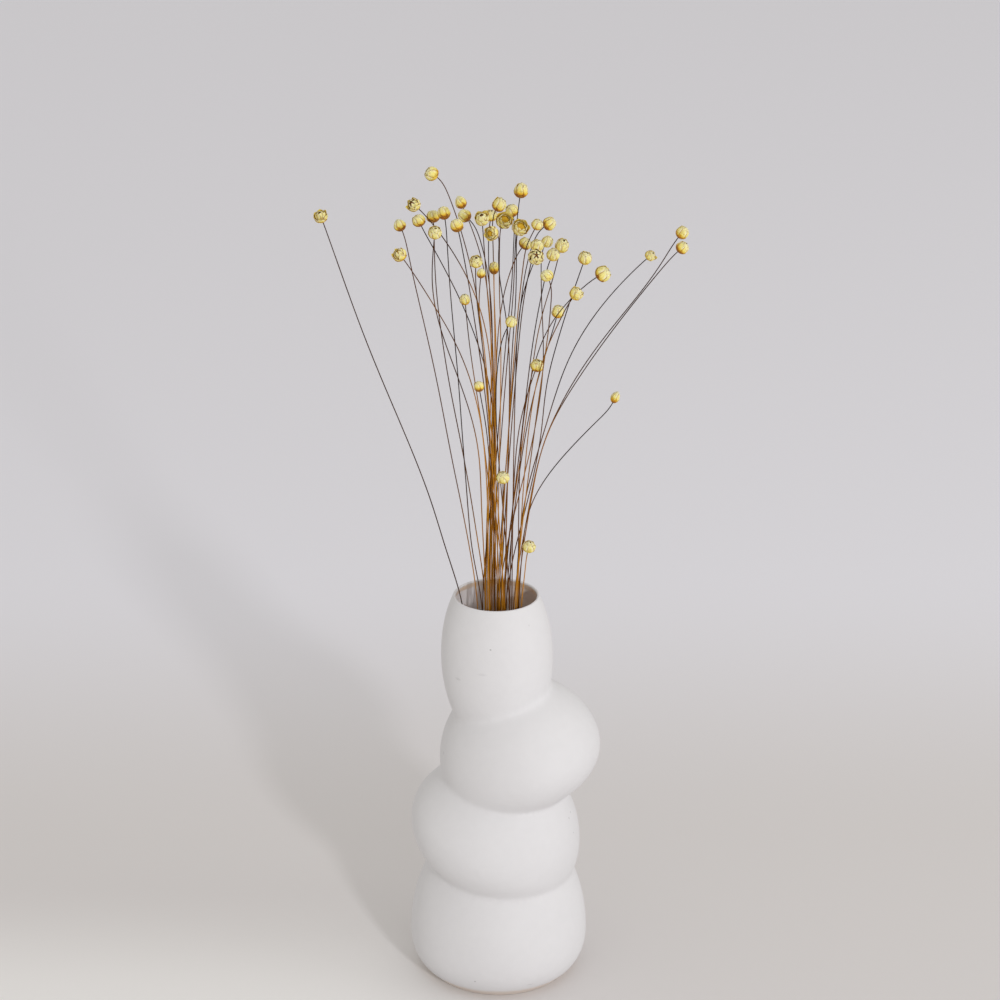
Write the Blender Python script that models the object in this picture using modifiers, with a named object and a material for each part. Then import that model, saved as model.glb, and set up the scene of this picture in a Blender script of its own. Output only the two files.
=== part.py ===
"""A matt ceramic bubble vase with a loose bunch of dried glixia standing in it.

The vase is four hollow bubbles fused one on another, the top one an open cup.
Every flower is a thin wiry stem with one globe of papery bracts on its tip. The
stems stand in the empty vase, lean apart above its mouth and touch nothing else.

Metres, +Z up. The origin is the centre of the vase's foot, on the surface it
stands on. -Y is the front of the arrangement and +X its right.
"""

import math
from collections import namedtuple

import bmesh
import bpy
import numpy as np
from mathutils import Matrix, Vector

# Vase

GAP = 0.0003                     # clear space between two pieces that touch
MERGE = 0.00001                  # points closer than this are one point
CUT_REACH = 0.1                  # a cutting block reaches this far past the axis
MOUTH_HEIGHT = 0.1957            # top of the lip above the surface
FLOOR_THICKNESS = 0.006
WALL = 0.003
CUP_CAVITY_REACH = 0.050         # keeps the lip thinner than the wall
OUTSIDE_SIDES = 32
INSIDE_SIDES = 24
OUTSIDE_RINGS = 7                # profile points above, and below, the widest ring
INSIDE_RINGS = 5
VASE_CREASE = 40.0               # degrees, above which an edge is shaded sharp

# A bubble is a squashed globe: its widest ring, how far it reaches above and
# below that ring, how square it is there (2 is an ellipse), and its lean.
Bubble = namedtuple("Bubble", "centre radius above below square_above square_below lean_x lean_y")
CUP = Bubble((-0.0007, 0.002, 0.164), 0.0267, 0.047, 0.049, 2.1, 1.9, -2.0, -1.0)
UPPER_BUBBLE = Bubble((0.0106, 0.0015, 0.113), 0.0392, 0.040, 0.0265, 1.9, 2.2, -6.0, -20.0)
MIDDLE_BUBBLE = Bubble((-0.0016, 0.001, 0.0718), 0.0426, 0.0435, 0.0305, 1.7, 2.0, 5.0, 25.0)
BASE_BUBBLE = Bubble((0.0, 0.0, 0.021), 0.0430, 0.062, 0.028, 1.9, 2.5, 0.0, 0.0)

# Stems

STEM_RADIUS = 0.00040            # to the corners of a four-sided stem
STEM_POINTS = 12                 # along the free part of a stem
TIP_CROWDING = 1.5               # above 1, points crowd towards the tip
NECK = 0.004                     # straight length under a head
NECK_FREE = 0.010                # a pass nearer than this to the head is left out
MOUTH_SPREAD = (0.12, 0.28)      # place in the mouth, as a share of a tall head's x and y
CROSSING = -0.12                 # and of its y, sideways: back and front stems cross
TALL_STEM = 0.200                # height above the mouth from which those shares hold
SHORT_STEM_POWER = 4             # how fast a shorter stem's place nears its own head's
FOOT_SPREAD = 0.90               # place on the vase's floor, as a share of that in the mouth
DEPTH_POWER = 1.4                # stems rise straight and bend away from the axis late
CURVE_PARTS = 12                 # lengths that a curve is measured in between two bends
LOWEST_FREE = 0.058              # below this height a stem runs straight down
STEMS_PER_SHEAF = 4              # neighbours that meet low in the vase, as one solid
INNER_STEMS = 14                 # grouped apart from the ring of stems round them
JOIN_HEIGHT = 0.012              # where the outermost side stem meets its sheaf's main stem
JOIN_STEP = 0.010                # and how much higher each further one does
JOIN_ANGLE = 27.0                # degrees from upright

# Stems that come too close push each other aside, more in depth than across.

STEM_SPACING = 0.0017            # between two middle lines
HEAD_SPACING = 0.0012            # between a stem's middle line and another stem's head
LIP_CENTRE = Vector((-0.0011, 0.0028))
LIP_REACH = 0.0175               # furthest that a stem's middle line is from that centre
LIP_DEPTH = 0.012                # and how far below the mouth that holds
EASING_LEVELS = 70               # heights at which stems are compared
SOFTENING_ROUNDS = 6             # each evens out a stem's bends a little
EASING_ROUNDS = 240
EASING_SHARE = 0.30              # of what is missing, each round
EASING_ACROSS = 0.45             # a push across counts this much against one in depth
HELD_LENGTH = 0.020              # a stem is ever less free over this length below its neck

# The view that the bunch's outline was read from, in a picture 1000 pixels square

VIEW_PLACE = Vector((0.0007, -1.3858, 0.7963))
VIEW_PITCH = math.radians(21.7)  # below level
VIEW_FOCAL = 3200.0              # pixels
VIEW_CENTRE = 500.0
MOUTH_ROW = 597.0                # picture row of the vase's mouth

# Heads. A head's profile runs from the bottom of its hole, over the inner and
# the outer whorl of bracts, down to its seat on the stem. Each row gives radius
# and height when shut, the same when wide open, and the wave that parts the
# bracts: outwards and upwards. All are shares of the head's radius.

HEAD_PROFILE = (
    ((0.00, 1.34), (0.00, 0.60), (0.00, 0.00)),
    ((0.10, 1.36), (0.34, 0.68), (0.00, 0.00)),
    ((0.17, 1.72), (0.60, 1.25), (-0.03, -0.10)),
    ((0.36, 1.48), (0.78, 1.00), (0.00, 0.00)),
    ((0.32, 1.82), (1.08, 1.42), (-0.06, 0.14)),
    ((0.74, 1.50), (1.06, 1.04), (0.03, 0.03)),
    ((1.00, 0.95), (1.00, 0.68), (0.02, 0.00)),
    ((0.82, 0.42), (0.80, 0.34), (0.00, 0.00)),
    ((0.44, 0.13), (0.44, 0.11), (0.00, 0.00)),
    ((0.17, 0.00), (0.17, 0.00), (0.00, 0.00)),
    ((0.00, 0.00), (0.00, 0.00), (0.00, 0.00)),
)
BRACTS = 5
HEAD_CREASE = 50.0               # degrees, above which an edge is shaded sharp
HEAD_MIDDLE = 0.95               # height of a head's middle above its seat, in radii
BELLY_SHARE = 0.54               # belly radius as a share of the width seen
OPEN_REACH = 0.10                # how much wider than its belly an open head is

# One row for a flower: its head's place in the picture (pixels), how far behind
# the vase's axis it is (millimetres), the head's width (pixels), how open it is,
# how its face is turned from upright (degrees, clockwise) and leans to the
# viewer, its height against its width, and the pixels that its stem passes,
# from the head down, where it stands clear of the others. A last one below the
# mouth's row gives its place in the mouth.
Flower = namedtuple("Flower", "column row depth width open turn lean stretch passes")
FLOWERS = (
    Flower(321, 217, -10, 13.0, 0.95, -20, 45, 1.0,
           ((364, 336), (389, 397), (411, 449), (432, 505), (447, 561), (459, 602))),
    Flower(432, 174, 14, 13.5, 0.50, -60, 20, 1.05,
           ((452, 201), (457, 217), (464, 240), (472, 270), (482, 330), (489, 400))),
    Flower(414, 205, -5, 13.3, 0.90, -55, 50, 1.0,
           ((434, 224), (447, 241), (460, 263), (471, 283), (485, 322), (492, 380))),
    Flower(400, 226, 15, 11.2, 0.15, -25, 10, 1.1,
           ((412, 272), (428, 340), (439, 391), (452, 460), (464, 517), (471, 557), (477, 608))),
    Flower(419, 221, 25, 12.4, 0.40, -25, 25, 1.05,
           ((429, 240), (439, 257), (450, 280), (460, 297), (477, 341), (489, 378), (495, 450))),
    Flower(433, 217, 40, 12.5, 0.30, -5, 10, 1.05,
           ((435, 278), (441, 332), (451, 394), (462, 447), (473, 510), (480, 556), (485, 603))),
    Flower(444, 213.5, 22, 11.8, 0.40, -10, 5, 1.2,
           ((448, 258), (451, 302), (458, 375), (463, 445), (468, 507), (472, 558), (481, 606))),
    Flower(435, 233, -20, 12.9, 0.60, 10, 50, 1.05,
           ((431, 285), (438, 323), (458, 377), (472, 417), (480, 454), (481, 500), (486, 600))),
    Flower(400, 255, -25, 13.5, 0.80, -40, 40, 1.0,
           ((421, 284), (439, 314), (454, 338), (468, 371), (480, 414), (486, 467), (489, 600))),
    Flower(461, 203, 35, 10.4, 0.05, -25, 10, 1.25, ((477, 240), (484, 265), (491, 330))),
    Flower(465, 216, 20, 12.0, 0.30, -50, 15, 1.15, ((482, 240), (487, 262), (492, 300))),
    Flower(457, 226, -5, 12.3, 0.40, -15, 15, 1.15, ((461, 240), (468, 279), (476, 330), (488, 420))),
    Flower(482, 219, 5, 14.0, 0.80, -5, 55, 1.0, ((485, 243), (488, 302), (492, 350), (496, 450))),
    Flower(491, 216, 45, 11.5, 0.50, 10, 30, 1.05, ((488, 245), (490, 300), (494, 380))),
    Flower(499, 205, 28, 13.0, 0.50, 35, 25, 1.2, ((493, 240), (494, 290), (495, 340))),
    Flower(512, 211, 45, 12.5, 0.50, -15, 25, 1.1, ((513, 256), (512, 290), (508, 320))),
    Flower(521, 191, 34, 13.0, 0.35, 10, 10, 1.24, ((517, 214), (515, 240), (514, 290), (509, 340))),
    Flower(504, 221, 8, 15.5, 1.00, 40, 60, 1.0, ((498, 240), (499, 283), (501, 340))),
    Flower(492, 233, -28, 13.5, 0.90, -110, 50, 1.0, ((497, 270), (504, 302), (509, 340))),
    Flower(520, 228, -15, 15.7, 1.00, 35, 60, 1.0, ((518, 252), (516, 302), (512, 350))),
    Flower(525, 244, 34, 12.2, 0.35, 40, 20, 1.0, ((510, 270), (503, 294), (498, 329))),
    Flower(537, 225, 12, 11.0, 0.40, 30, 30, 1.05, ((525, 249), (522, 276), (517, 320))),
    Flower(549, 224, 25, 12.3, 0.35, 60, 15, 1.15, ((529, 250), (525, 270), (520, 310))),
    Flower(537, 246, 8, 12.2, 0.40, 25, 30, 1.05, ((529, 260), (524, 295), (519, 340))),
    Flower(547, 242, 20, 11.0, 0.40, 35, 30, 1.12,
           ((540, 265), (541, 294), (543, 329), (544, 365), (535, 430))),
    Flower(562, 246, 12, 12.9, 0.45, 20, 40, 1.2,
           ((555, 274), (547, 297), (540, 320), (535, 347), (526, 420))),
    Flower(536, 257, -35, 15.2, 0.55, 20, 78, 1.0, ((532, 267), (525, 282), (519, 311), (516, 365))),
    Flower(553, 255, 0, 12.3, 0.35, 30, 40, 1.1,
           ((544, 283), (538, 311), (532, 347), (528, 380), (521, 440))),
    Flower(547, 276, -45, 12.2, 0.40, -28, 20, 1.0, ((553, 297), (550, 320), (545, 356), (536, 420))),
    Flower(585, 258.5, 10, 12.6, 0.45, 20, 35, 1.12,
           ((577, 284), (564, 319), (556, 347), (545, 387), (542, 434), (528, 500))),
    Flower(602.5, 274, -30, 15.4, 0.35, 62, 25, 1.0,
           ((579, 286), (565, 302), (553, 318), (541, 341), (534, 365), (522, 430))),
    Flower(576, 294, -38, 13.0, 0.80, 40, 25, 1.1, ((562, 317), (550, 338), (542, 361), (531, 410))),
    Flower(558, 312, -2, 12.0, 0.50, 15, 25, 1.2, ((554, 330), (547, 350), (539, 374), (526, 430))),
    Flower(650, 256, 10, 10.3, 0.60, 50, 35, 1.0,
           ((627, 276), (592, 317), (567, 360), (549, 415), (537, 454), (524, 500), (516, 600))),
    Flower(682, 233, 18, 12.0, 0.40, 40, 20, 1.15,
           ((654, 276), (600, 342), (570, 386), (557, 411), (541, 446), (533, 490), (518, 600))),
    Flower(682, 248, 2, 12.0, 0.40, 50, 20, 1.1,
           ((657, 274), (602, 344), (572, 388), (548, 428), (535, 474), (525, 530), (514, 600))),
    Flower(615, 398, -8, 8.0, 0.00, 25, 5, 1.5,
           ((600, 418), (570, 448), (543, 480), (527, 510), (523, 542), (519, 600))),
    Flower(476, 262, -31, 12.3, 0.65, 5, 50, 1.05, ((476, 300), (482, 340))),
    Flower(481, 274, -12, 7.9, 0.20, 5, 10, 1.3, ((478, 300), (483, 350), (489, 420))),
    Flower(494, 268.5, 20, 9.0, 0.50, 0, 0, 1.55, ((494, 300), (496, 338))),
    Flower(465, 300, -15, 9.6, 0.40, -5, 30, 1.25, ((468, 334), (474, 377), (481, 420))),
    Flower(511, 322, -38, 10.8, 0.40, 35, 35, 1.12, ((500, 346), (497, 365), (496, 420))),
    Flower(537, 366, -24, 12.8, 0.6, 20, 30, 1.05, ((527, 394), (518, 431), (514, 480))),
    Flower(479, 387, -37, 9.5, 0.60, -10, 15, 1.25, ((484, 405), (487, 430), (490, 470))),
    Flower(503, 478, -31, 12.5, 0.45, 0, 40, 1.0, ((502, 605),)),
    Flower(529, 547, -14, 12.5, 0.45, 15, 35, 1.0, ((525, 574), (521, 603))),
)


def material(name, colour, roughness):
    """A plain Principled finish."""
    made = bpy.data.materials.new(name)
    made.use_nodes = True
    shader = made.node_tree.nodes["Principled BSDF"]
    shader.inputs["Base Color"].default_value = (*colour, 1.0)
    shader.inputs["Roughness"].default_value = roughness
    shader.inputs["Metallic"].default_value = 0.0
    made.diffuse_color = (*colour, 1.0)
    return made


def collection(name):
    """A collection of that name in the scene."""
    made = bpy.data.collections.new(name)
    bpy.context.scene.collection.children.link(made)
    return made


def drop(thing):
    """Remove an object and its data."""
    data = thing.data
    bpy.data.objects.remove(thing)
    if isinstance(data, bpy.types.Mesh):
        bpy.data.meshes.remove(data)
    elif isinstance(data, bpy.types.Curve):
        bpy.data.curves.remove(data)


def evaluated_mesh(thing):
    """The mesh that an object shows, modifiers and all."""
    graph = bpy.context.evaluated_depsgraph_get()
    graph.update()
    return bpy.data.meshes.new_from_object(thing.evaluated_get(graph))


def turned_mesh(name, profile, sides):
    """Turn a profile of (radius, height) points, run down its outer side, about Z."""
    outline = bpy.data.meshes.new(name + "_profile")
    points = [(radius, 0.0, height) for radius, height in profile]
    outline.from_pydata(points, [(i, i + 1) for i in range(len(points) - 1)], [])
    holder = bpy.data.objects.new(name + "_profile", outline)
    bpy.context.scene.collection.objects.link(holder)
    screw = holder.modifiers.new("turn", "SCREW")
    screw.axis = "Z"
    screw.angle = math.tau
    screw.steps = sides
    screw.render_steps = sides
    screw.use_merge_vertices = True
    screw.merge_threshold = MERGE
    mesh = evaluated_mesh(holder)
    mesh.name = name
    drop(holder)
    shape = bmesh.new()
    shape.from_mesh(mesh)
    bmesh.ops.recalc_face_normals(shape, faces=shape.faces)
    shape.to_mesh(mesh)
    shape.free()
    return mesh


def combine(thing, operation, tool):
    """Join an object to another, or cut it, and keep the result in its mesh."""
    change = thing.modifiers.new(operation.lower(), "BOOLEAN")
    change.operation = operation
    if isinstance(tool, bpy.types.Collection):
        change.operand_type = "COLLECTION"
        change.collection = tool
    else:
        change.object = tool
    change.solver = "EXACT"
    mesh = evaluated_mesh(thing)
    old = thing.data
    thing.modifiers.remove(change)
    thing.data = mesh
    bpy.data.meshes.remove(old)


def cutter_block(name, low, high, cutters):
    """A box between two corners, for cutting only."""
    mesh = bpy.data.meshes.new(name)
    shape = bmesh.new()
    bmesh.ops.create_cube(shape, size=1.0)
    shape.to_mesh(mesh)
    shape.free()
    low = Vector(low)
    high = Vector(high)
    mesh.transform(Matrix.Translation((low + high) / 2) @ Matrix.Diagonal((*(high - low), 1.0)))
    block = bpy.data.objects.new(name, mesh)
    block.hide_render = True
    block.display_type = "WIRE"
    cutters.objects.link(block)
    return block


def bubble_profile(radius, above, below, square_above, square_below, rings):
    """Points down the outer side of a squashed globe, pole to pole."""
    points = []
    for step in range(rings * 2 + 1):
        angle = math.pi / 2 * (1 - step / rings)
        out = abs(math.cos(angle))
        rise = abs(math.sin(angle))
        if step < rings:
            points.append((radius * out ** (2 / square_above), above * rise ** (2 / square_above)))
        else:
            points.append((radius * out ** (2 / square_below), -below * rise ** (2 / square_below)))
    points[0] = (0.0, above)
    points[-1] = (0.0, -below)
    return points


def bubble(name, shape, inset, above, sides, rings, group):
    """One bubble of the vase, or its hollow when it is inset by the wall."""
    profile = bubble_profile(
        shape.radius - inset, above, shape.below - inset,
        shape.square_above, shape.square_below, rings,
    )
    made = bpy.data.objects.new(name, turned_mesh(name, profile, sides))
    lean = Matrix.Rotation(math.radians(shape.lean_y), 4, "Y")
    lean = lean @ Matrix.Rotation(math.radians(shape.lean_x), 4, "X")
    made.data.transform(Matrix.Translation(shape.centre) @ lean)
    group.objects.link(made)
    return made


def bubble_stack(name, inset, cup_above, sides, rings, floor, cutters):
    """The four bubbles as one solid, cut flat underneath."""
    bubbles = (BASE_BUBBLE, MIDDLE_BUBBLE, UPPER_BUBBLE)
    stack = bubble(name, CUP, inset, cup_above, sides, rings, cutters)
    joined = collection(name + "_bubbles")
    for number, shape in enumerate(bubbles):
        bubble(name + str(number), shape, inset, shape.above - inset, sides, rings, joined)
    combine(stack, "UNION", joined)
    for spent in list(joined.objects):
        drop(spent)
    bpy.data.collections.remove(joined)
    low = (-CUT_REACH, -CUT_REACH, -CUT_REACH)
    ground = cutter_block(name + "_ground", low, (CUT_REACH, CUT_REACH, floor), cutters)
    combine(stack, "DIFFERENCE", ground)
    return stack


def vase(group, cutters, finish):
    """The vase: a solid stack of bubbles, cut level at the mouth and hollowed."""
    outside = bubble_stack("vase", 0.0, CUP.above, OUTSIDE_SIDES, OUTSIDE_RINGS, 0.0, cutters)
    cutters.objects.unlink(outside)
    group.objects.link(outside)
    low = (-CUT_REACH, -CUT_REACH, MOUTH_HEIGHT)
    lid = cutter_block("mouth_cut", low, (CUT_REACH, CUT_REACH, MOUTH_HEIGHT + CUT_REACH), cutters)
    combine(outside, "DIFFERENCE", lid)
    hollow = bubble_stack(
        "vase_hollow", WALL, CUP_CAVITY_REACH, INSIDE_SIDES, INSIDE_RINGS, FLOOR_THICKNESS, cutters
    )
    hollow.hide_render = True
    hollow.display_type = "WIRE"
    combine(outside, "DIFFERENCE", hollow)
    outside.data.materials.clear()
    outside.data.materials.append(finish)
    outside.data.shade_smooth()
    outside.data.set_sharp_from_angle(angle=math.radians(VASE_CREASE))
    return outside


def view_axes():
    """The view's right, up and forward directions."""
    forward = Vector((0.0, math.cos(VIEW_PITCH), -math.sin(VIEW_PITCH)))
    up = Vector((0.0, math.sin(VIEW_PITCH), math.cos(VIEW_PITCH)))
    return Vector((1.0, 0.0, 0.0)), up, forward


def from_photo(column, row, depth):
    """The point at a pixel of the view, at a depth behind the vase's axis."""
    right, up, forward = view_axes()
    ray = forward + right * ((column - VIEW_CENTRE) / VIEW_FOCAL)
    ray = ray + up * ((VIEW_CENTRE - row) / VIEW_FOCAL)
    return VIEW_PLACE + ray * ((depth - VIEW_PLACE.y) / ray.y)


def facing(turn, lean):
    """A head's axis: turned clockwise from upright in the view, leant to the viewer."""
    right, up, forward = view_axes()
    turn = math.radians(turn)
    lean = math.radians(lean)
    flat = right * math.sin(turn) + up * math.cos(turn)
    return (flat * math.cos(lean) - forward * math.sin(lean)).normalized()


def head_radius(flower):
    """The belly radius that gives a head its width in the view."""
    distance = (from_photo(flower.column, flower.row, flower.depth / 1000) - VIEW_PLACE).length
    width = flower.width * distance / VIEW_FOCAL
    return BELLY_SHARE * width / (1 + OPEN_REACH * flower.open)


def head_seat(flower):
    """Where a head sits on its stem."""
    middle = from_photo(flower.column, flower.row, flower.depth / 1000)
    half = HEAD_MIDDLE * head_radius(flower) * flower.stretch
    return middle - facing(flower.turn, flower.lean) * half


def stem_tip(flower, neck):
    """The end of a stem, drawn back until its slanted cap clears the head's base."""
    seat = head_seat(flower)
    along = (seat - neck).normalized()
    slant = along.angle(facing(flower.turn, flower.lean))
    return seat - along * STEM_RADIUS * math.tan(slant)


def mouth_places():
    """Where each stem would pass the mouth if it had it to itself."""
    places = []
    for flower in FLOWERS:
        head = from_photo(flower.column, flower.row, flower.depth / 1000)
        short = max(0.0, 1 - (head.z - MOUTH_HEIGHT) / TALL_STEM) ** SHORT_STEM_POWER
        shares = [spread + (1 - spread) * short for spread in MOUTH_SPREAD]
        x = head.x * shares[0] + head.y * CROSSING * (1 - short)
        if flower.passes and flower.passes[-1][1] > MOUTH_ROW:
            x = from_photo(*flower.passes[-1], 0.0).x
        y = LIP_CENTRE.y * (1 - short) + head.y * shares[1]
        aside = Vector((x, y)) - LIP_CENTRE
        places.append(LIP_CENTRE + aside * min(1.0, LIP_REACH / aside.length))
    return places


def sheaves(lines):
    """Groups of stems that stand together, each with its middle stem first."""
    places = np.array([line[0].xy for line in lines])
    middle = places.mean(axis=0)
    out = np.linalg.norm(places - middle, axis=1)
    angle = np.arctan2(places[:, 1] - middle[1], places[:, 0] - middle[0])
    order = list(np.argsort(out))
    groups = []
    for ring in (order[:INNER_STEMS], order[INNER_STEMS:]):
        ring = sorted(ring, key=lambda index: angle[index])
        for start in range(0, len(ring), STEMS_PER_SHEAF):
            group = [int(index) for index in ring[start:start + STEMS_PER_SHEAF]]
            spot = places[group].mean(axis=0)
            groups.append(sorted(group, key=lambda index: np.linalg.norm(places[index] - spot)))
    return groups


def curve_point(knots, steps, at):
    """One point of the curve between the middle two of four knots."""
    row = list(knots)
    for level in (1, 2, 3):
        for i in range(4 - level):
            if level < 3:
                low = steps[i]
                high = steps[i + level]
            else:
                low = steps[1]
                high = steps[2]
            share = (at - low) / (high - low)
            row[i] = row[i].lerp(row[i + 1], share)
    return row[0]


def smooth_curve(knots):
    """Close points on a smooth curve through the knots."""
    knots = [knots[0] * 2 - knots[1]] + knots + [knots[-1] * 2 - knots[-2]]
    steps = [0.0]
    for before, after in zip(knots, knots[1:]):
        steps.append(steps[-1] + math.sqrt((after - before).length))
    curve = []
    for i in range(1, len(knots) - 2):
        for part in range(CURVE_PARTS):
            at = steps[i] + (steps[i + 1] - steps[i]) * part / CURVE_PARTS
            curve.append(curve_point(knots[i - 1:i + 3], steps[i - 1:i + 3], at))
    return curve + [knots[-2]]


def spaced(curve, count, crowding):
    """That many points of a curve, crowded towards its last end."""
    lengths = [0.0]
    for before, after in zip(curve, curve[1:]):
        lengths.append(lengths[-1] + (after - before).length)
    points = []
    for i in range(count):
        want = lengths[-1] * (1 - (1 - i / (count - 1)) ** crowding)
        j = max(k for k in range(len(lengths) - 1) if lengths[k] <= want)
        share = (want - lengths[j]) / (lengths[j + 1] - lengths[j])
        points.append(curve[j].lerp(curve[j + 1], min(share, 1.0)))
    return points


def wanted_line(flower, place):
    """The free part of a stem up to its neck, as it would run with no others near."""
    seat = head_seat(flower)
    mouth = Vector((*place, MOUTH_HEIGHT))
    foot = Vector((*(place * FOOT_SPREAD), LOWEST_FREE))
    knots = [foot, mouth]
    for column, row in reversed(flower.passes):
        share = (MOUTH_ROW - row) / (MOUTH_ROW - flower.row)
        if share > 0.0:
            spot = from_photo(column, row, mouth.y + (seat.y - mouth.y) * share ** DEPTH_POWER)
            if (spot - seat).length > NECK_FREE:
                knots.append(spot)
    along = facing(flower.turn, flower.lean) + (seat - knots[-1]).normalized()
    return smooth_curve(knots + [seat - along.normalized() * NECK])


def stem_pushes(spots, there):
    """How far each stem's points are pushed by stems that come too close."""
    apart = spots[:, None] - spots[None, :]
    distance = np.linalg.norm(apart, axis=2) + MERGE
    short = np.clip(STEM_SPACING - distance, 0.0, None) * (there[:, None] & there[None, :])
    short[np.arange(len(spots)), np.arange(len(spots))] = 0.0
    return (apart / distance[:, :, None] * short[:, :, None]).sum(axis=1)


def head_pushes(spots, there, heights):
    """How far each stem's points are pushed by the heads of the others."""
    push = np.zeros_like(spots)
    for number, flower in enumerate(FLOWERS):
        middle = from_photo(flower.column, flower.row, flower.depth / 1000)
        reach = head_radius(flower) * max(1 + OPEN_REACH * flower.open, flower.stretch) + HEAD_SPACING
        reach = np.sqrt(np.clip(reach ** 2 - (heights - middle.z) ** 2, 0.0, None))
        apart = spots - np.array(middle.xy)[None, :, None]
        distance = np.linalg.norm(apart, axis=1) + MERGE
        short = np.clip(reach - distance, 0.0, None) * there
        short[number] = 0.0
        push += apart / distance[:, None] * short[:, None]
    return push


def lip_pushes(spots, heights):
    """How far each stem's points are pushed in by the lip."""
    apart = spots - np.array(LIP_CENTRE)[None, :, None]
    distance = np.linalg.norm(apart, axis=1) + MERGE
    low = heights > MOUTH_HEIGHT - LIP_DEPTH
    at_lip = low & (heights < MOUTH_HEIGHT + STEM_SPACING * 2)
    over = np.clip(distance - LIP_REACH, 0.0, None) * at_lip
    return -apart / distance[:, None] * over[:, None]


def eased_lines():
    """Every stem's free part, from above the vase's floor to its head."""
    places = mouth_places()
    lines = [np.array(wanted_line(flower, place)) for flower, place in zip(FLOWERS, places)]
    tops = np.array([line[-1, 2] for line in lines])
    heights = np.linspace(LOWEST_FREE, tops.max(), EASING_LEVELS)
    there = heights[None, :] <= tops[:, None]
    free = np.clip((tops[:, None] - heights[None, :]) / HELD_LENGTH, 0.0, 1.0)[:, None]
    free = free * np.array((EASING_ACROSS, 1.0))[None, :, None]
    spots = np.array([[np.interp(heights, line[:, 2], line[:, i]) for i in (0, 1)] for line in lines])
    for _ in range(SOFTENING_ROUNDS):
        softer = (spots[:, :, :-2] + spots[:, :, 1:-1] * 2 + spots[:, :, 2:]) / 4
        spots[:, :, 1:-1] = np.where(there[:, None, 2:], softer, spots[:, :, 1:-1])
    moved = np.zeros_like(spots)
    for _ in range(EASING_ROUNDS):
        now = spots + moved
        push = stem_pushes(now, there) + head_pushes(now, there, heights) + lip_pushes(now, heights)
        moved += push * free * EASING_SHARE
        moved[:, :, 1:-1] = (moved[:, :, :-2] + moved[:, :, 1:-1] * 2 + moved[:, :, 2:]) / 4
    spots += moved * (free > 0.0)
    eased = []
    for flower, line, spot in zip(FLOWERS, lines, spots):
        below = heights < line[-1, 2] - NECK
        knots = [Vector(point) for point in zip(spot[0][below], spot[1][below], heights[below])]
        neck = Vector(line[-1])
        eased.append(smooth_curve(knots + [neck, stem_tip(flower, neck)]))
    return eased


def stem_route(line, main=None, join=0.0):
    """A stem's points, from the vase's floor or its sheaf's main stem to its head."""
    foot = line[0]
    route = spaced(line, STEM_POINTS, TIP_CROWDING)
    away = [abs(point.z - MOUTH_HEIGHT) for point in route]
    route[away.index(min(away))] = min(line, key=lambda point: abs(point.z - MOUTH_HEIGHT))
    if main is None:
        return [Vector((foot.x, foot.y, FLOOR_THICKNESS + GAP))] + route
    end = Vector((main[0].x, main[0].y, join))
    aside = math.hypot(end.x - foot.x, end.y - foot.y)
    bend = Vector((foot.x, foot.y, join + aside / math.tan(math.radians(JOIN_ANGLE))))
    return [end, bend] + route


def stem(name, route, group):
    """One stem: a thin rod along its route, as a closed mesh."""
    data = bpy.data.curves.new(name, "CURVE")
    data.dimensions = "3D"
    data.bevel_depth = STEM_RADIUS
    data.bevel_resolution = 0
    data.use_fill_caps = True
    line = data.splines.new("POLY")
    line.points.add(len(route) - 1)
    for point, place in zip(line.points, route):
        point.co = (*place, 1.0)
    rod = bpy.data.objects.new(name + "_line", data)
    bpy.context.scene.collection.objects.link(rod)
    mesh = evaluated_mesh(rod)
    made = bpy.data.objects.new(name, mesh)
    made.matrix_world = rod.matrix_world
    drop(rod)
    shape = bmesh.new()
    shape.from_mesh(mesh)
    bmesh.ops.remove_doubles(shape, verts=shape.verts, dist=MERGE)
    shape.to_mesh(mesh)
    shape.free()
    group.objects.link(made)
    return made


def sheaf(name, members, lines, group, finish):
    """Several stems that meet low in the vase, joined as one solid."""
    first = members[0]
    joined = collection(name + "_sides")
    main = stem(name, stem_route(lines[first]), group)
    for number, index in enumerate(reversed(members[1:])):
        join = JOIN_HEIGHT + JOIN_STEP * number
        route = stem_route(lines[index], lines[first], join)
        stem(name + str(number), route, joined)
    combine(main, "UNION", joined)
    for spent in list(joined.objects):
        drop(spent)
    bpy.data.collections.remove(joined)
    main.data.materials.clear()
    main.data.materials.append(finish)
    return main


def head_mesh(name, flower):
    """A globe of bracts: a turned profile whose rims are waved into bract tips."""
    radius = head_radius(flower)
    profile = []
    for shut, wide, _ in HEAD_PROFILE:
        out = shut[0] + (wide[0] - shut[0]) * flower.open
        rise = shut[1] + (wide[1] - shut[1]) * flower.open
        profile.append((out * radius, rise * radius))
    mesh = turned_mesh(name, profile, BRACTS * 2)
    for vertex in mesh.vertices:
        out = math.hypot(vertex.co.x, vertex.co.y)
        away = [abs(out - r) + abs(vertex.co.z - z) for r, z in profile]
        wave = HEAD_PROFILE[away.index(min(away))][2]
        if out > 0.0:
            swing = math.cos(BRACTS * math.atan2(vertex.co.y, vertex.co.x))
            wider = 1 + wave[0] * swing * radius / out
            vertex.co.x *= wider
            vertex.co.y *= wider
            vertex.co.z += wave[1] * swing * radius
        vertex.co.z *= flower.stretch
    return mesh


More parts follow.
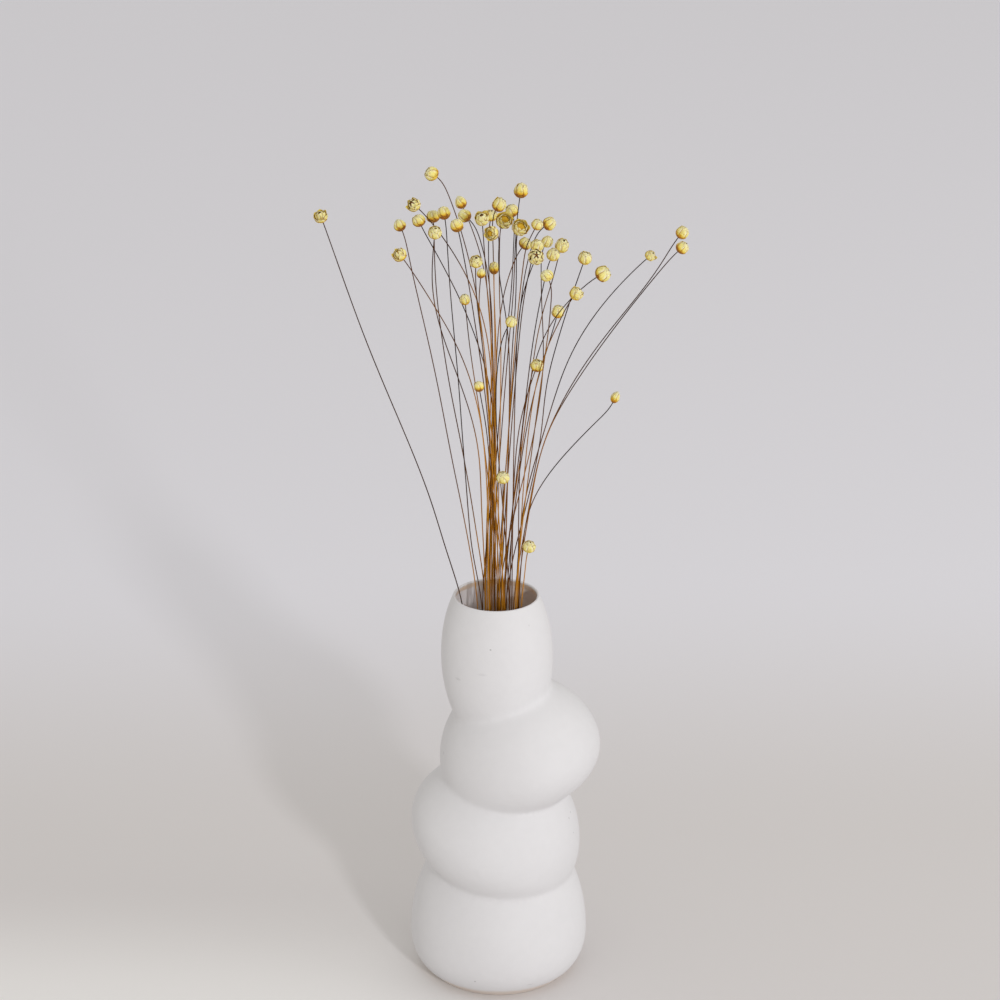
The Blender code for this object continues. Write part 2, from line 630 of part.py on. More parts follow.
def head(name, flower, turn, group, finish):
    """One flower head, seated on the tip of its stem."""
    made = bpy.data.objects.new(name, head_mesh(name, flower))
    axis = facing(flower.turn, flower.lean)
    made.rotation_mode = "QUATERNION"
    upright = Vector((0.0, 0.0, 1.0)).rotation_difference(axis)
    made.rotation_quaternion = upright @ Matrix.Rotation(turn, 3, "Z").to_quaternion()
    made.location = head_seat(flower) + axis * GAP
    made.data.materials.clear()
    made.data.materials.append(finish)
    made.data.shade_smooth()
    made.data.set_sharp_from_angle(angle=math.radians(HEAD_CREASE))
    group.objects.link(made)
    return made


def build():
    """Make the vase and its flowers."""
    for thing in list(bpy.data.objects):
        bpy.data.objects.remove(thing)
    ceramic = material("matt_white_ceramic", (0.80, 0.78, 0.77), 0.85)
    papery = material("papery_yellow_bract", (0.86, 0.74, 0.28), 0.70)
    wiry = material("dried_brown_stem", (0.30, 0.17, 0.07), 0.65)
    group = collection("vase_of_dried_glixia")
    cutters = collection("cutters")
    vase(group, cutters, ceramic)
    lines = eased_lines()
    for number, members in enumerate(sheaves(lines)):
        sheaf("stems_%02d" % (number + 1), members, lines, group, wiry)
    golden_angle = math.pi * (3 - math.sqrt(5))
    for number, flower in enumerate(FLOWERS):
        head("flower_head_%02d" % (number + 1), flower, number * golden_angle, group, papery)
    for spent in list(cutters.objects):
        drop(spent)


build()
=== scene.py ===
# %% [markdown]
# # A vase of dried glixia
#
# The object is a matt white ceramic vase of four stacked bubbles, with a loose fan of dried
# glixia in it: thin wiry stems, each with one small globe of papery bracts on its tip.
#
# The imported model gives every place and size. Its solids could be kept and only painted,
# but they have flat facets, four-sided stems and heads of one piece. So each is replaced
# here by a finer piece of the same form, in the same place.

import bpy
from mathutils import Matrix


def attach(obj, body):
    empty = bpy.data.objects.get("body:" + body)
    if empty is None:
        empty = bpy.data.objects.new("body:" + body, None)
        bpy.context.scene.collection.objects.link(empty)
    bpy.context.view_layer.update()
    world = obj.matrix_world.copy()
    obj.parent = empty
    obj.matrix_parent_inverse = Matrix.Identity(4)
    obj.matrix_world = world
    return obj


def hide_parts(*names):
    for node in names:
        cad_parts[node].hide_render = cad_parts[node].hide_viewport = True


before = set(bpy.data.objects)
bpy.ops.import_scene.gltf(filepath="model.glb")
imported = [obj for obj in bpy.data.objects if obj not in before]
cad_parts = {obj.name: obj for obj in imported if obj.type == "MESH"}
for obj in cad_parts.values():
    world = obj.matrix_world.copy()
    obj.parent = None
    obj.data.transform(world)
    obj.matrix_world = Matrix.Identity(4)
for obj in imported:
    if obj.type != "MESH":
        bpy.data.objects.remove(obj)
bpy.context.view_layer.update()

# %% Import what the cells below use
import math
import random
from collections import namedtuple

import bmesh
import bpy
import numpy as np
from mathutils import Matrix, Vector, noise
from mathutils.bvhtree import BVHTree

# %% [markdown]
# ## Working by hand in a script
#
# An operator acts on whatever is selected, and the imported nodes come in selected. These
# helpers leave one object picked, open it in edit mode, apply what is stacked on it, join
# objects, copy one with its mesh, and store numbers on its points.

# %% Selection helpers
def pick(thing):
    """Leave one object selected and active."""
    bpy.ops.object.select_all(action="DESELECT")
    thing.select_set(True)
    bpy.context.view_layer.objects.active = thing


def open_mesh(thing):
    """Go into edit mode on one object, with nothing in it selected."""
    pick(thing)
    bpy.ops.object.mode_set(mode="EDIT")
    bpy.ops.mesh.select_all(action="DESELECT")


def close_mesh():
    """Go back to object mode."""
    bpy.ops.object.mode_set(mode="OBJECT")


def apply_modifiers(thing):
    """Apply an object's modifiers, top to bottom."""
    pick(thing)
    for modifier in list(thing.modifiers):
        bpy.ops.object.modifier_apply(modifier=modifier.name)


def joined(things):
    """Join objects into the first of them."""
    pick(things[0])
    for thing in things:
        thing.select_set(True)
    bpy.ops.object.join()
    return bpy.context.object


# %% Mesh helpers
def own_copy(thing):
    """A copy of an object, with a mesh of its own."""
    made = thing.copy()
    made.data = thing.data.copy()
    bpy.context.scene.collection.objects.link(made)
    return made


def store(thing, name, values):
    """Store one number on each point of an object's mesh."""
    thing.data.attributes.new(name, "FLOAT", "POINT").data.foreach_set("value", values)


def triangles(thing):
    """How many triangles an object has."""
    return sum(len(face.vertices) - 2 for face in thing.data.polygons)


# %% [markdown]
# ## The camera
#
# The photograph was taken from a little above, with a long lens. The camera could be set
# by eye, but the flowers are placed by where they show in the picture, so both use one
# view: its place, how far it looks down, and its focal length in pixels of a picture
# 1000 pixels square.

# %% Camera
PICTURE = 1000.0
SENSOR = 36.0
VIEW_PLACE = Vector((0.0007, -1.3858, 0.7963))
VIEW_PITCH = math.radians(21.7)
VIEW_FOCAL = 3200.0
VIEW_CENTRE = PICTURE / 2
NEAREST_SHOWN, FARTHEST_SHOWN = 0.05, 20.0

bpy.ops.object.camera_add(location=VIEW_PLACE, rotation=(math.pi / 2 - VIEW_PITCH, 0.0, 0.0))
camera = bpy.context.object
camera.name = "camera"
camera.data.sensor_width = SENSOR
camera.data.lens = VIEW_FOCAL / PICTURE * SENSOR
camera.data.clip_start = NEAREST_SHOWN
camera.data.clip_end = FARTHEST_SHOWN
bpy.context.scene.camera = camera
print("lens %.1f mm" % camera.data.lens)


# %% From the picture to the frame
def view_axes():
    """The view's right, up and forward directions."""
    forward = Vector((0.0, math.cos(VIEW_PITCH), -math.sin(VIEW_PITCH)))
    up = Vector((0.0, math.sin(VIEW_PITCH), math.cos(VIEW_PITCH)))
    return Vector((1.0, 0.0, 0.0)), up, forward


def sight_line(column, row):
    """The direction from the camera through a pixel."""
    right, up, forward = view_axes()
    line = forward + right * ((column - VIEW_CENTRE) / VIEW_FOCAL)
    return line + up * ((VIEW_CENTRE - row) / VIEW_FOCAL)


def from_photo(column, row, depth):
    """The point at a pixel of the view, at a depth behind the vase's axis."""
    line = sight_line(column, row)
    return VIEW_PLACE + line * ((depth - VIEW_PLACE.y) / line.y)


# %% [markdown]
# ## The vase
#
# The real vase is slip-cast in one piece: four squashed, leaning bubbles, the top one cut
# off level as an open cup. Where two bubbles meet, the crease is soft, because glaze and
# slip fill it.
#
# The bubbles could be joined by a Boolean and the crease bevelled, but a bevel fails on
# the slivers that a Boolean leaves. So the four balls are laid over each other, a voxel
# remesh makes them one even skin, and a smoothing rounds the creases.

# %% Bubbles
MOUTH_HEIGHT = 0.1957
Bubble = namedtuple("Bubble", "centre radius above below square_above square_below lean_x lean_y")
CUP = Bubble((-0.0007, 0.002, 0.164), 0.0267, 0.047, 0.049, 2.1, 1.9, -2.0, -1.0)
UPPER_BUBBLE = Bubble((0.0106, 0.0015, 0.113), 0.0392, 0.040, 0.0265, 1.9, 2.2, -6.0, -20.0)
MIDDLE_BUBBLE = Bubble((-0.0016, 0.001, 0.0718), 0.0426, 0.0435, 0.0305, 1.7, 2.0, 5.0, 25.0)
BASE_BUBBLE = Bubble((0.0, 0.0, 0.021), 0.0430, 0.062, 0.028, 1.9, 2.5, 0.0, 0.0)
BUBBLES = (CUP, UPPER_BUBBLE, MIDDLE_BUBBLE, BASE_BUBBLE)
BALL_SEGMENTS, BALL_RINGS = 96, 64
ON_AXIS = 1e-6


def bubble_lean(shape):
    """How a bubble leans."""
    lean = Matrix.Rotation(math.radians(shape.lean_y), 4, "Y")
    return lean @ Matrix.Rotation(math.radians(shape.lean_x), 4, "X")


def bubble(shape):
    """A ball, squashed to one bubble's form and leant."""
    bpy.ops.mesh.primitive_uv_sphere_add(
        segments=BALL_SEGMENTS, ring_count=BALL_RINGS, radius=1.0,
    )
    ball = bpy.context.object
    for vertex in ball.data.vertices:
        reach, square = shape.above, shape.square_above
        if vertex.co.z < 0:
            reach, square = -shape.below, shape.square_below
        out = math.hypot(vertex.co.x, vertex.co.y)
        wider = shape.radius * out ** (2 / square) / out if out > ON_AXIS else 0.0
        height = reach * abs(vertex.co.z) ** (2 / square)
        vertex.co = (vertex.co.x * wider, vertex.co.y * wider, height)
    ball.data.transform(Matrix.Translation(shape.centre) @ bubble_lean(shape))
    return ball


balls = [bubble(shape) for shape in BUBBLES]
print("bubbles:", len(balls))

# %% One skin with soft creases
SKIN_GRAIN = 0.0012
CREASE_ROUNDS = 14
CREASE_SHARE = 0.5

vase = joined(balls)
vase.name = "bubble_vase"
vase.data.name = "bubble_vase"
remesh = vase.modifiers.new("one_skin", "REMESH")
remesh.mode = "VOXEL"
remesh.voxel_size = SKIN_GRAIN
remesh.use_smooth_shade = True
soften = vase.modifiers.new("soft_creases", "SMOOTH")
soften.factor = CREASE_SHARE
soften.iterations = CREASE_ROUNDS
apply_modifiers(vase)
skin_points = [vertex.co.copy() for vertex in vase.data.vertices]
skin = BVHTree.FromPolygons(skin_points, [list(face.vertices) for face in vase.data.polygons])
print("skin points:", len(skin_points))

# %% [markdown]
# ## The lip, the inside and the foot
#
# The mouth is cut level, and its lip is thin and rounded. A Solidify could give the wall
# its thickness, but then the lip would be a square-edged slanting band. So the cut edge is
# extruded as a potter would turn it: up and over in a half round, then down inside, ring
# by ring, wide in each bubble and narrow between them. A ring that comes too near the skin
# is drawn in until the wall is sound. The foot is cut and rounded under in the same way.

# %% Rings
LIP_RADIUS = 0.0007
LIP_STEPS = 6
CLOSING_STEPS = 4


def selected_centre(thing):
    """The middle and the mean radius of the ring that is selected in edit mode.

    A cut's points crowd together in places and their mean is off, so their box's middle is used.
    """
    points = [v.co.copy() for v in bmesh.from_edit_mesh(thing.data).verts if v.select]
    low = Vector([min(point[i] for point in points) for i in range(3)])
    high = Vector([max(point[i] for point in points) for i in range(3)])
    middle = (low + high) / 2
    radius = sum((point - middle).length for point in points) / len(points)
    return middle, radius


def next_ring(ring, place, radius):
    """Extrude the selected ring to a new place and radius."""
    middle, old_radius = ring
    place = Vector(place)
    bpy.ops.mesh.extrude_region_move(TRANSFORM_OT_translate={"value": place - middle})
    share = radius / old_radius
    bpy.ops.transform.resize(value=(share, share, 1.0), center_override=place)
    return place, radius


def close_ring(ring):
    """Fill a ring with ever smaller rings, and merge the last one to a point."""
    middle, radius = ring
    for step in range(1, CLOSING_STEPS):
        ring = next_ring(ring, middle, radius * (1 - step / CLOSING_STEPS))
    bpy.ops.mesh.extrude_region_move(TRANSFORM_OT_translate={"value": (0.0, 0.0, 0.0)})
    bpy.ops.mesh.merge(type="CENTER")


def cut_level(thing, height, keep_below):
    """Cut an object level, flatten the cut's edge and leave it selected."""
    open_mesh(thing)
    bpy.ops.mesh.select_all(action="SELECT")
    bpy.ops.mesh.bisect(
        plane_co=(0.0, 0.0, height), plane_no=(0.0, 0.0, 1.0),
        clear_outer=keep_below, clear_inner=not keep_below,
    )
    bpy.ops.transform.resize(value=(1.0, 1.0, 0.0), center_override=(0.0, 0.0, height))
    return selected_centre(thing)


# %% Foot
FOOT_ROUND = 0.0008
FOOT_STEPS = 3

ring = cut_level(vase, FOOT_ROUND, keep_below=False)
foot_middle, foot_radius = ring
for step in range(1, FOOT_STEPS + 1):
    turn = math.pi / 2 * step / FOOT_STEPS
    height = FOOT_ROUND * (1 - math.sin(turn))
    radius = foot_radius - FOOT_ROUND * (1 - math.cos(turn))
    ring = next_ring(ring, (foot_middle.x, foot_middle.y, height), radius)
close_ring(ring)
close_mesh()
print("foot radius %.1f mm" % (foot_radius * 1000))

# %% Lip
lip_height = MOUTH_HEIGHT - LIP_RADIUS
ring = cut_level(vase, lip_height, keep_below=True)
mouth_middle, mouth_radius = ring
for step in range(1, LIP_STEPS + 1):
    turn = math.pi * step / LIP_STEPS
    height = lip_height + LIP_RADIUS * math.sin(turn)
    radius = mouth_radius - LIP_RADIUS * (1 - math.cos(turn))
    ring = next_ring(ring, (mouth_middle.x, mouth_middle.y, height), radius)
print("mouth radius %.1f mm at" % (mouth_radius * 1000), tuple(mouth_middle))

# %% Inside
WALL = 0.003
CUP_CAVITY_REACH = 0.050
FLOOR_THICKNESS = 0.006
RING_SPACING = 0.003
WIDEST_WINS = 12
THINNEST_WALL = 0.002
RIM_ZONE = 0.015
TRIM = 0.0002
WALL_TESTS = 36


def bubble_section(shape, height):
    """The middle and radius of the largest level circle inside one bubble's hollow."""
    axis = bubble_lean(shape) @ Vector((0.0, 0.0, 1.0))
    rise = height - shape.centre[2]
    wide = shape.radius - WALL
    reach, square = shape.above - WALL, shape.square_above
    if shape is CUP:
        reach = CUP_CAVITY_REACH
    if rise < 0:
        reach, square = shape.below - WALL, shape.square_below
    tall = math.hypot(wide * math.sqrt(1 - axis.z ** 2), reach * axis.z)
    share = min(abs(rise) / tall, 1.0)
    radius = wide * min(1.0, reach / tall) * (1 - share ** square) ** (1 / square)
    drift = (reach ** 2 - wide ** 2) * axis.z / tall ** 2 * rise
    middle = Vector(shape.centre) + Vector((axis.x * drift, axis.y * drift, rise))
    return middle, radius


def wall_is_sound(middle, radius):
    """Whether a level circle stays far enough inside the skin all the way round."""
    for step in range(WALL_TESTS):
        turn = math.tau * step / WALL_TESTS
        point = middle + Vector((math.cos(turn), math.sin(turn), 0.0)) * radius
        spot, outwards, _, apart = skin.find_nearest(point)
        if apart < THINNEST_WALL or (spot - point).dot(outwards) < 0:
            return False
    return True


def hollow_section(height):
    """The middle and radius of the hollow at a height, led by the widest bubble there.

    A leaning bubble's section is a guess, so the circle shrinks until the wall is sound.
    """
    total = 0.0
    middle = Vector()
    wide = 0.0
    for shape in BUBBLES:
        spot, radius = bubble_section(shape, height)
        weight = radius ** WIDEST_WINS
        total += weight
        middle += spot * weight
        wide += radius * weight
    middle, wide = middle / total, wide / total
    while height < MOUTH_HEIGHT - RIM_ZONE and wide > TRIM and not wall_is_sound(middle, wide):
        wide -= TRIM
    return middle, wide


ring_count = round((lip_height - FLOOR_THICKNESS) / RING_SPACING)
for step in range(1, ring_count + 1):
    height = lip_height + (FLOOR_THICKNESS - lip_height) * step / ring_count
    ring = next_ring(ring, *hollow_section(height))
close_ring(ring)
close_mesh()
print("rings inside:", ring_count, "triangles:", triangles(vase))

# %% [markdown]
# ## Ceramic
#
# The outside is unglazed white ware: chalky, a little uneven in tone, with a very fine
# grain, a few specks and some grey scuffs from handling. A single white would look like
# plastic. Noise at three sizes gives the cloudiness, the mottling and the grain, and the
# few marks that the eye finds in the photograph are soft spots laid on the surface.
#
# The inside is painted paler than the ware is, to lift the shade in it that would turn it
# dark. Its right side is painted with warm shade, where the stems shade it and light it
# warm, and just under the lip the body's own tan shows in a narrow band.

# %% Node helpers
def new_material(name):
    """A material with an empty tree, its Principled shader and its Object coordinates."""
    made = bpy.data.materials.new(name)
    made.use_nodes = True
    tree = made.node_tree
    shader = tree.nodes["Principled BSDF"]
    place = tree.nodes.new("ShaderNodeTexCoord").outputs["Object"]
    return made, tree, shader, place


def noise_node(tree, place, scale, detail=3.0, stretch=(1.0, 1.0, 1.0), roughness=0.5):
    """Noise of a scale per metre, stretched along an axis if wanted."""
    mapping = tree.nodes.new("ShaderNodeMapping")
    mapping.inputs["Scale"].default_value = stretch
    tree.links.new(place, mapping.inputs["Vector"])
    made = tree.nodes.new("ShaderNodeTexNoise")
    made.inputs["Scale"].default_value = scale
    made.inputs["Detail"].default_value = detail
    made.inputs["Roughness"].default_value = roughness
    tree.links.new(mapping.outputs["Vector"], made.inputs["Vector"])
    return made.outputs["Fac"]


def attribute_node(tree, name):
    """A mesh attribute as a value."""
    made = tree.nodes.new("ShaderNodeAttribute")
    made.attribute_name = name
    return made.outputs["Fac"]


def split_node(tree, vector):
    """The X, Y and Z of a vector."""
    made = tree.nodes.new("ShaderNodeSeparateXYZ")
    tree.links.new(vector, made.inputs["Vector"])
    return made.outputs


def ramp_node(tree, factor, stops):
    """A colour ramp from a list of (position, colour)."""
    made = tree.nodes.new("ShaderNodeValToRGB")
    ramp = made.color_ramp
    while len(ramp.elements) < len(stops):
        ramp.elements.new(0.5)
    for element, (position, colour) in zip(ramp.elements, stops):
        element.position = position
        element.color = (*colour, 1.0)
    tree.links.new(factor, made.inputs["Fac"])
    return made.outputs["Color"]


def mix_node(tree, factor, below, above, blend="MIX"):
    """Lay one colour over another. A factor, and the colour above, may be plain values."""
    made = tree.nodes.new("ShaderNodeMix")
    made.data_type = "RGBA"
    made.blend_type = blend
    made.clamp_factor = True
    sockets = made.inputs[0], made.inputs[6], made.inputs[7]
    for value, socket in zip((factor, below, above), sockets):
        if isinstance(value, bpy.types.NodeSocket):
            tree.links.new(value, socket)
        elif isinstance(value, float):
            socket.default_value = value
        else:
            socket.default_value = (*value, 1.0)
    return made.outputs[2]


def range_node(tree, value, low, high, to_low=0.0, to_high=1.0):
    """Map a value smoothly from one range to another."""
    made = tree.nodes.new("ShaderNodeMapRange")
    made.interpolation_type = "SMOOTHSTEP"
    made.inputs["From Min"].default_value = low
    made.inputs["From Max"].default_value = high
    made.inputs["To Min"].default_value = to_low
    made.inputs["To Max"].default_value = to_high
    tree.links.new(value, made.inputs["Value"])
    return made.outputs["Result"]


def math_node(tree, operation, first, second=None):
    """Arithmetic on one or two values."""
    made = tree.nodes.new("ShaderNodeMath")
    made.operation = operation
    for value, socket in ((first, made.inputs[0]), (second, made.inputs[1])):
        if isinstance(value, bpy.types.NodeSocket):
            tree.links.new(value, socket)
        elif value is not None:
            socket.default_value = value
    return made.outputs[0]


def shared_node(tree, first, share, second):
    """Two values added, the first counting for a share and the second for the rest."""
    rest = math_node(tree, "MULTIPLY", second, 1 - share)
    return math_node(tree, "ADD", math_node(tree, "MULTIPLY", first, share), rest)


def paint_shader(tree, shader, colour, texture, roughness):
    """Give a shader its colour, and a roughness that follows a texture."""
    tree.links.new(colour, shader.inputs["Base Color"])
    rough = range_node(tree, texture, 0.3, 0.7, *roughness)
    tree.links.new(rough, shader.inputs["Roughness"])


def bump_node(tree, shader, heights):
    """Stack bumps, each (height socket, strength, depth in metres), onto a shader."""
    last = None
    for height, strength, depth in heights:
        made = tree.nodes.new("ShaderNodeBump")
        made.inputs["Strength"].default_value = strength
        made.inputs["Distance"].default_value = depth
        tree.links.new(height, made.inputs["Height"])
        if last is not None:
            tree.links.new(last, made.inputs["Normal"])
        last = made.outputs["Normal"]
    tree.links.new(last, shader.inputs["Normal"])


# %% Marks on the outside
Mark = namedtuple("Mark", "column row width height strength")
MARKS = (
    Mark(490.5, 650.0, 1.3, 0.9, 0.75),
    Mark(458.0, 679.0, 5.0, 2.2, 0.16),
    Mark(482.0, 675.0, 7.0, 2.0, 0.10),
    Mark(529.0, 625.5, 1.0, 1.5, 0.20),
    Mark(443.5, 753.0, 2.5, 2.5, 0.16),
    Mark(570.5, 812.0, 0.8, 3.2, 0.50),
    Mark(569.0, 818.0, 0.9, 2.2, 0.55),
    Mark(573.5, 832.5, 1.0, 0.9, 0.50),
    Mark(438.0, 873.0, 9.0, 1.6, 0.14),
    Mark(475.0, 981.5, 1.5, 1.2, 0.50),
    Mark(530.0, 984.5, 5.0, 0.9, 0.25),
)
MARK_CORE = 0.25


def on_vase(column, row):
    """The point of the vase that shows at a pixel."""
    line = sight_line(column, row).normalized()
    hit, place, _, _ = vase.ray_cast(VIEW_PLACE, line)
    if not hit:
        raise ValueError("no vase at pixel %s, %s" % (column, row))
    return place


def mark_node(tree, place, mark):
    """A soft spot, as wide and high as its pixels, strongest in its middle."""
    centre = on_vase(mark.column, mark.row)
    pixel = (centre - VIEW_PLACE).length / VIEW_FOCAL
    mapping = tree.nodes.new("ShaderNodeMapping")
    mapping.vector_type = "TEXTURE"
    mapping.inputs["Location"].default_value = centre
    size = (mark.width * pixel, mark.width * pixel, mark.height * pixel)
    mapping.inputs["Scale"].default_value = size
    tree.links.new(place, mapping.inputs["Vector"])
    away = tree.nodes.new("ShaderNodeVectorMath")
    away.operation = "LENGTH"
    tree.links.new(mapping.outputs["Vector"], away.inputs[0])
    return range_node(tree, away.outputs["Value"], MARK_CORE, 1.0, mark.strength, 0.0)


# %% Outside ceramic
WHITE_WARE = (0.690, 0.682, 0.692)
CHALK_LIGHT = (0.725, 0.718, 0.728)
SCUFF_GREY = (0.22, 0.21, 0.21)
BARE_CLAY = (0.690, 0.530, 0.380)
FOOT_EDGE = (0.0012, 0.0042)
FOOT_TINT = 0.45
FOOT_RAGGED = 0.0030
CLOUD_SHARE = 0.65
SPECKS_PER_METRE = 75.0
SPECK_EDGE = (0.018, 0.045)
SPECKS_KEPT = (0.70, 0.74)
SPECK_STRENGTH = 0.35
WARE_ROUGHNESS = (0.78, 0.92)
WARE_SPECULAR = 0.35


def ceramic_body(tree, place, low, high):
    """Cloudy, mottled white ware."""
    clouds = noise_node(tree, place, 22.0, 2.0)
    mottling = noise_node(tree, place, 240.0, 4.0)
    tone = shared_node(tree, clouds, CLOUD_SHARE, mottling)
    return ramp_node(tree, tone, ((0.30, low), (0.70, high)))


def ragged_height(tree, place, scale, ragged):
    """The height above the floor, and how much a ragged edge there wanders."""
    wander = math_node(tree, "MULTIPLY", noise_node(tree, place, scale, 4.0), ragged)
    return split_node(tree, place)["Z"], wander


ceramic, tree, shader, place = new_material("matt_white_ceramic")
colour = ceramic_body(tree, place, WHITE_WARE, CHALK_LIGHT)
specks = tree.nodes.new("ShaderNodeTexVoronoi")
specks.inputs["Scale"].default_value = SPECKS_PER_METRE
tree.links.new(place, specks.inputs["Vector"])
spot = range_node(tree, specks.outputs["Distance"], *SPECK_EDGE, 1.0, 0.0)
rare = range_node(tree, specks.outputs["Color"], *SPECKS_KEPT)
speck = math_node(tree, "MULTIPLY", math_node(tree, "MULTIPLY", spot, rare), SPECK_STRENGTH)
colour = mix_node(tree, speck, colour, SCUFF_GREY)
for mark in MARKS:
    colour = mix_node(tree, mark_node(tree, place, mark), colour, SCUFF_GREY)
height = math_node(tree, "SUBTRACT", *ragged_height(tree, place, 130.0, FOOT_RAGGED))
foot_tint = range_node(tree, height, *FOOT_EDGE, FOOT_TINT, 0.0)
colour = mix_node(tree, foot_tint, colour, BARE_CLAY)
grain = noise_node(tree, place, 1500.0, 4.0, roughness=0.65)
waviness = noise_node(tree, place, 55.0, 2.0)
paint_shader(tree, shader, colour, grain, WARE_ROUGHNESS)
shader.inputs["Specular IOR Level"].default_value = WARE_SPECULAR
bump_node(tree, shader, ((waviness, 0.30, 0.0006), (grain, 0.35, 0.00006)))
vase.data.materials.append(ceramic)
print("marks on the vase:", len(MARKS))

# %% Inside ceramic
# The inside's colours are painted paler than the ware, to lift the shade deep in the vase.
INNER_GREY = (0.900, 0.865, 0.865)
INNER_LIGHT = (0.930, 0.900, 0.900)
WARM_PAINTED_SHADE = (0.850, 0.690, 0.580)
PAINTED_SHADE_SIDE = (0.000, 0.014)
PAINTED_SHADE_STRENGTH = 0.85
BAND_DEPTH = 0.0032
BAND_SOFTNESS = 0.0012
BAND_RAGGED = 0.0016
BAND_STRENGTH = (0.45, 0.95)
INSIDE_ROUGHNESS = (0.55, 0.75)
OFF_SKIN = 0.0005

inside, tree, shader, place = new_material("inside_ceramic")
colour = ceramic_body(tree, place, INNER_GREY, INNER_LIGHT)
# Painted shade: the inside's right side, where the stems shade it and light it warm, turns warm
# brown.
warm_shade_mask = range_node(tree, split_node(tree, place)["X"], *PAINTED_SHADE_SIDE, 0.0, PAINTED_SHADE_STRENGTH)
colour = mix_node(tree, warm_shade_mask, colour, WARM_PAINTED_SHADE)
height = math_node(tree, "ADD", *ragged_height(tree, place, 260.0, BAND_RAGGED))
band_low = MOUTH_HEIGHT - BAND_DEPTH
band = range_node(tree, height, band_low, band_low + BAND_SOFTNESS)
blotch = range_node(tree, noise_node(tree, place, 420.0, 3.0), 0.25, 0.75, *BAND_STRENGTH)
colour = mix_node(tree, math_node(tree, "MULTIPLY", band, blotch), colour, BARE_CLAY)
grain = noise_node(tree, place, 1200.0, 4.0, roughness=0.6)
paint_shader(tree, shader, colour, grain, INSIDE_ROUGHNESS)
bump_node(tree, shader, ((grain, 0.35, 0.00008),))
vase.data.materials.append(inside)


def on_hollow(face):
    """Whether a face is on the hollow's side: between floor and lip, and off the skin."""
    if not FLOOR_THICKNESS - OFF_SKIN < face.center.z < lip_height:
        return False
    return skin.find_nearest(face.center)[3] > OFF_SKIN


for face in vase.data.polygons:
    face.use_smooth = True
    face.material_index = 1 if on_hollow(face) else 0
print("faces inside:", sum(face.material_index for face in vase.data.polygons))
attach(vase, "root")
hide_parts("vase")

# %% [markdown]
# ## Where the flowers are
#
# Every flower has its own row: the place of its head in the picture, how far behind the
# vase's axis it is, its width, how open it is, which way it faces, and the pixels that
# its stem passes where it can be followed. Flowers could be scattered at random, but a
# bunch is known by its outline, so each stands where it really stood.

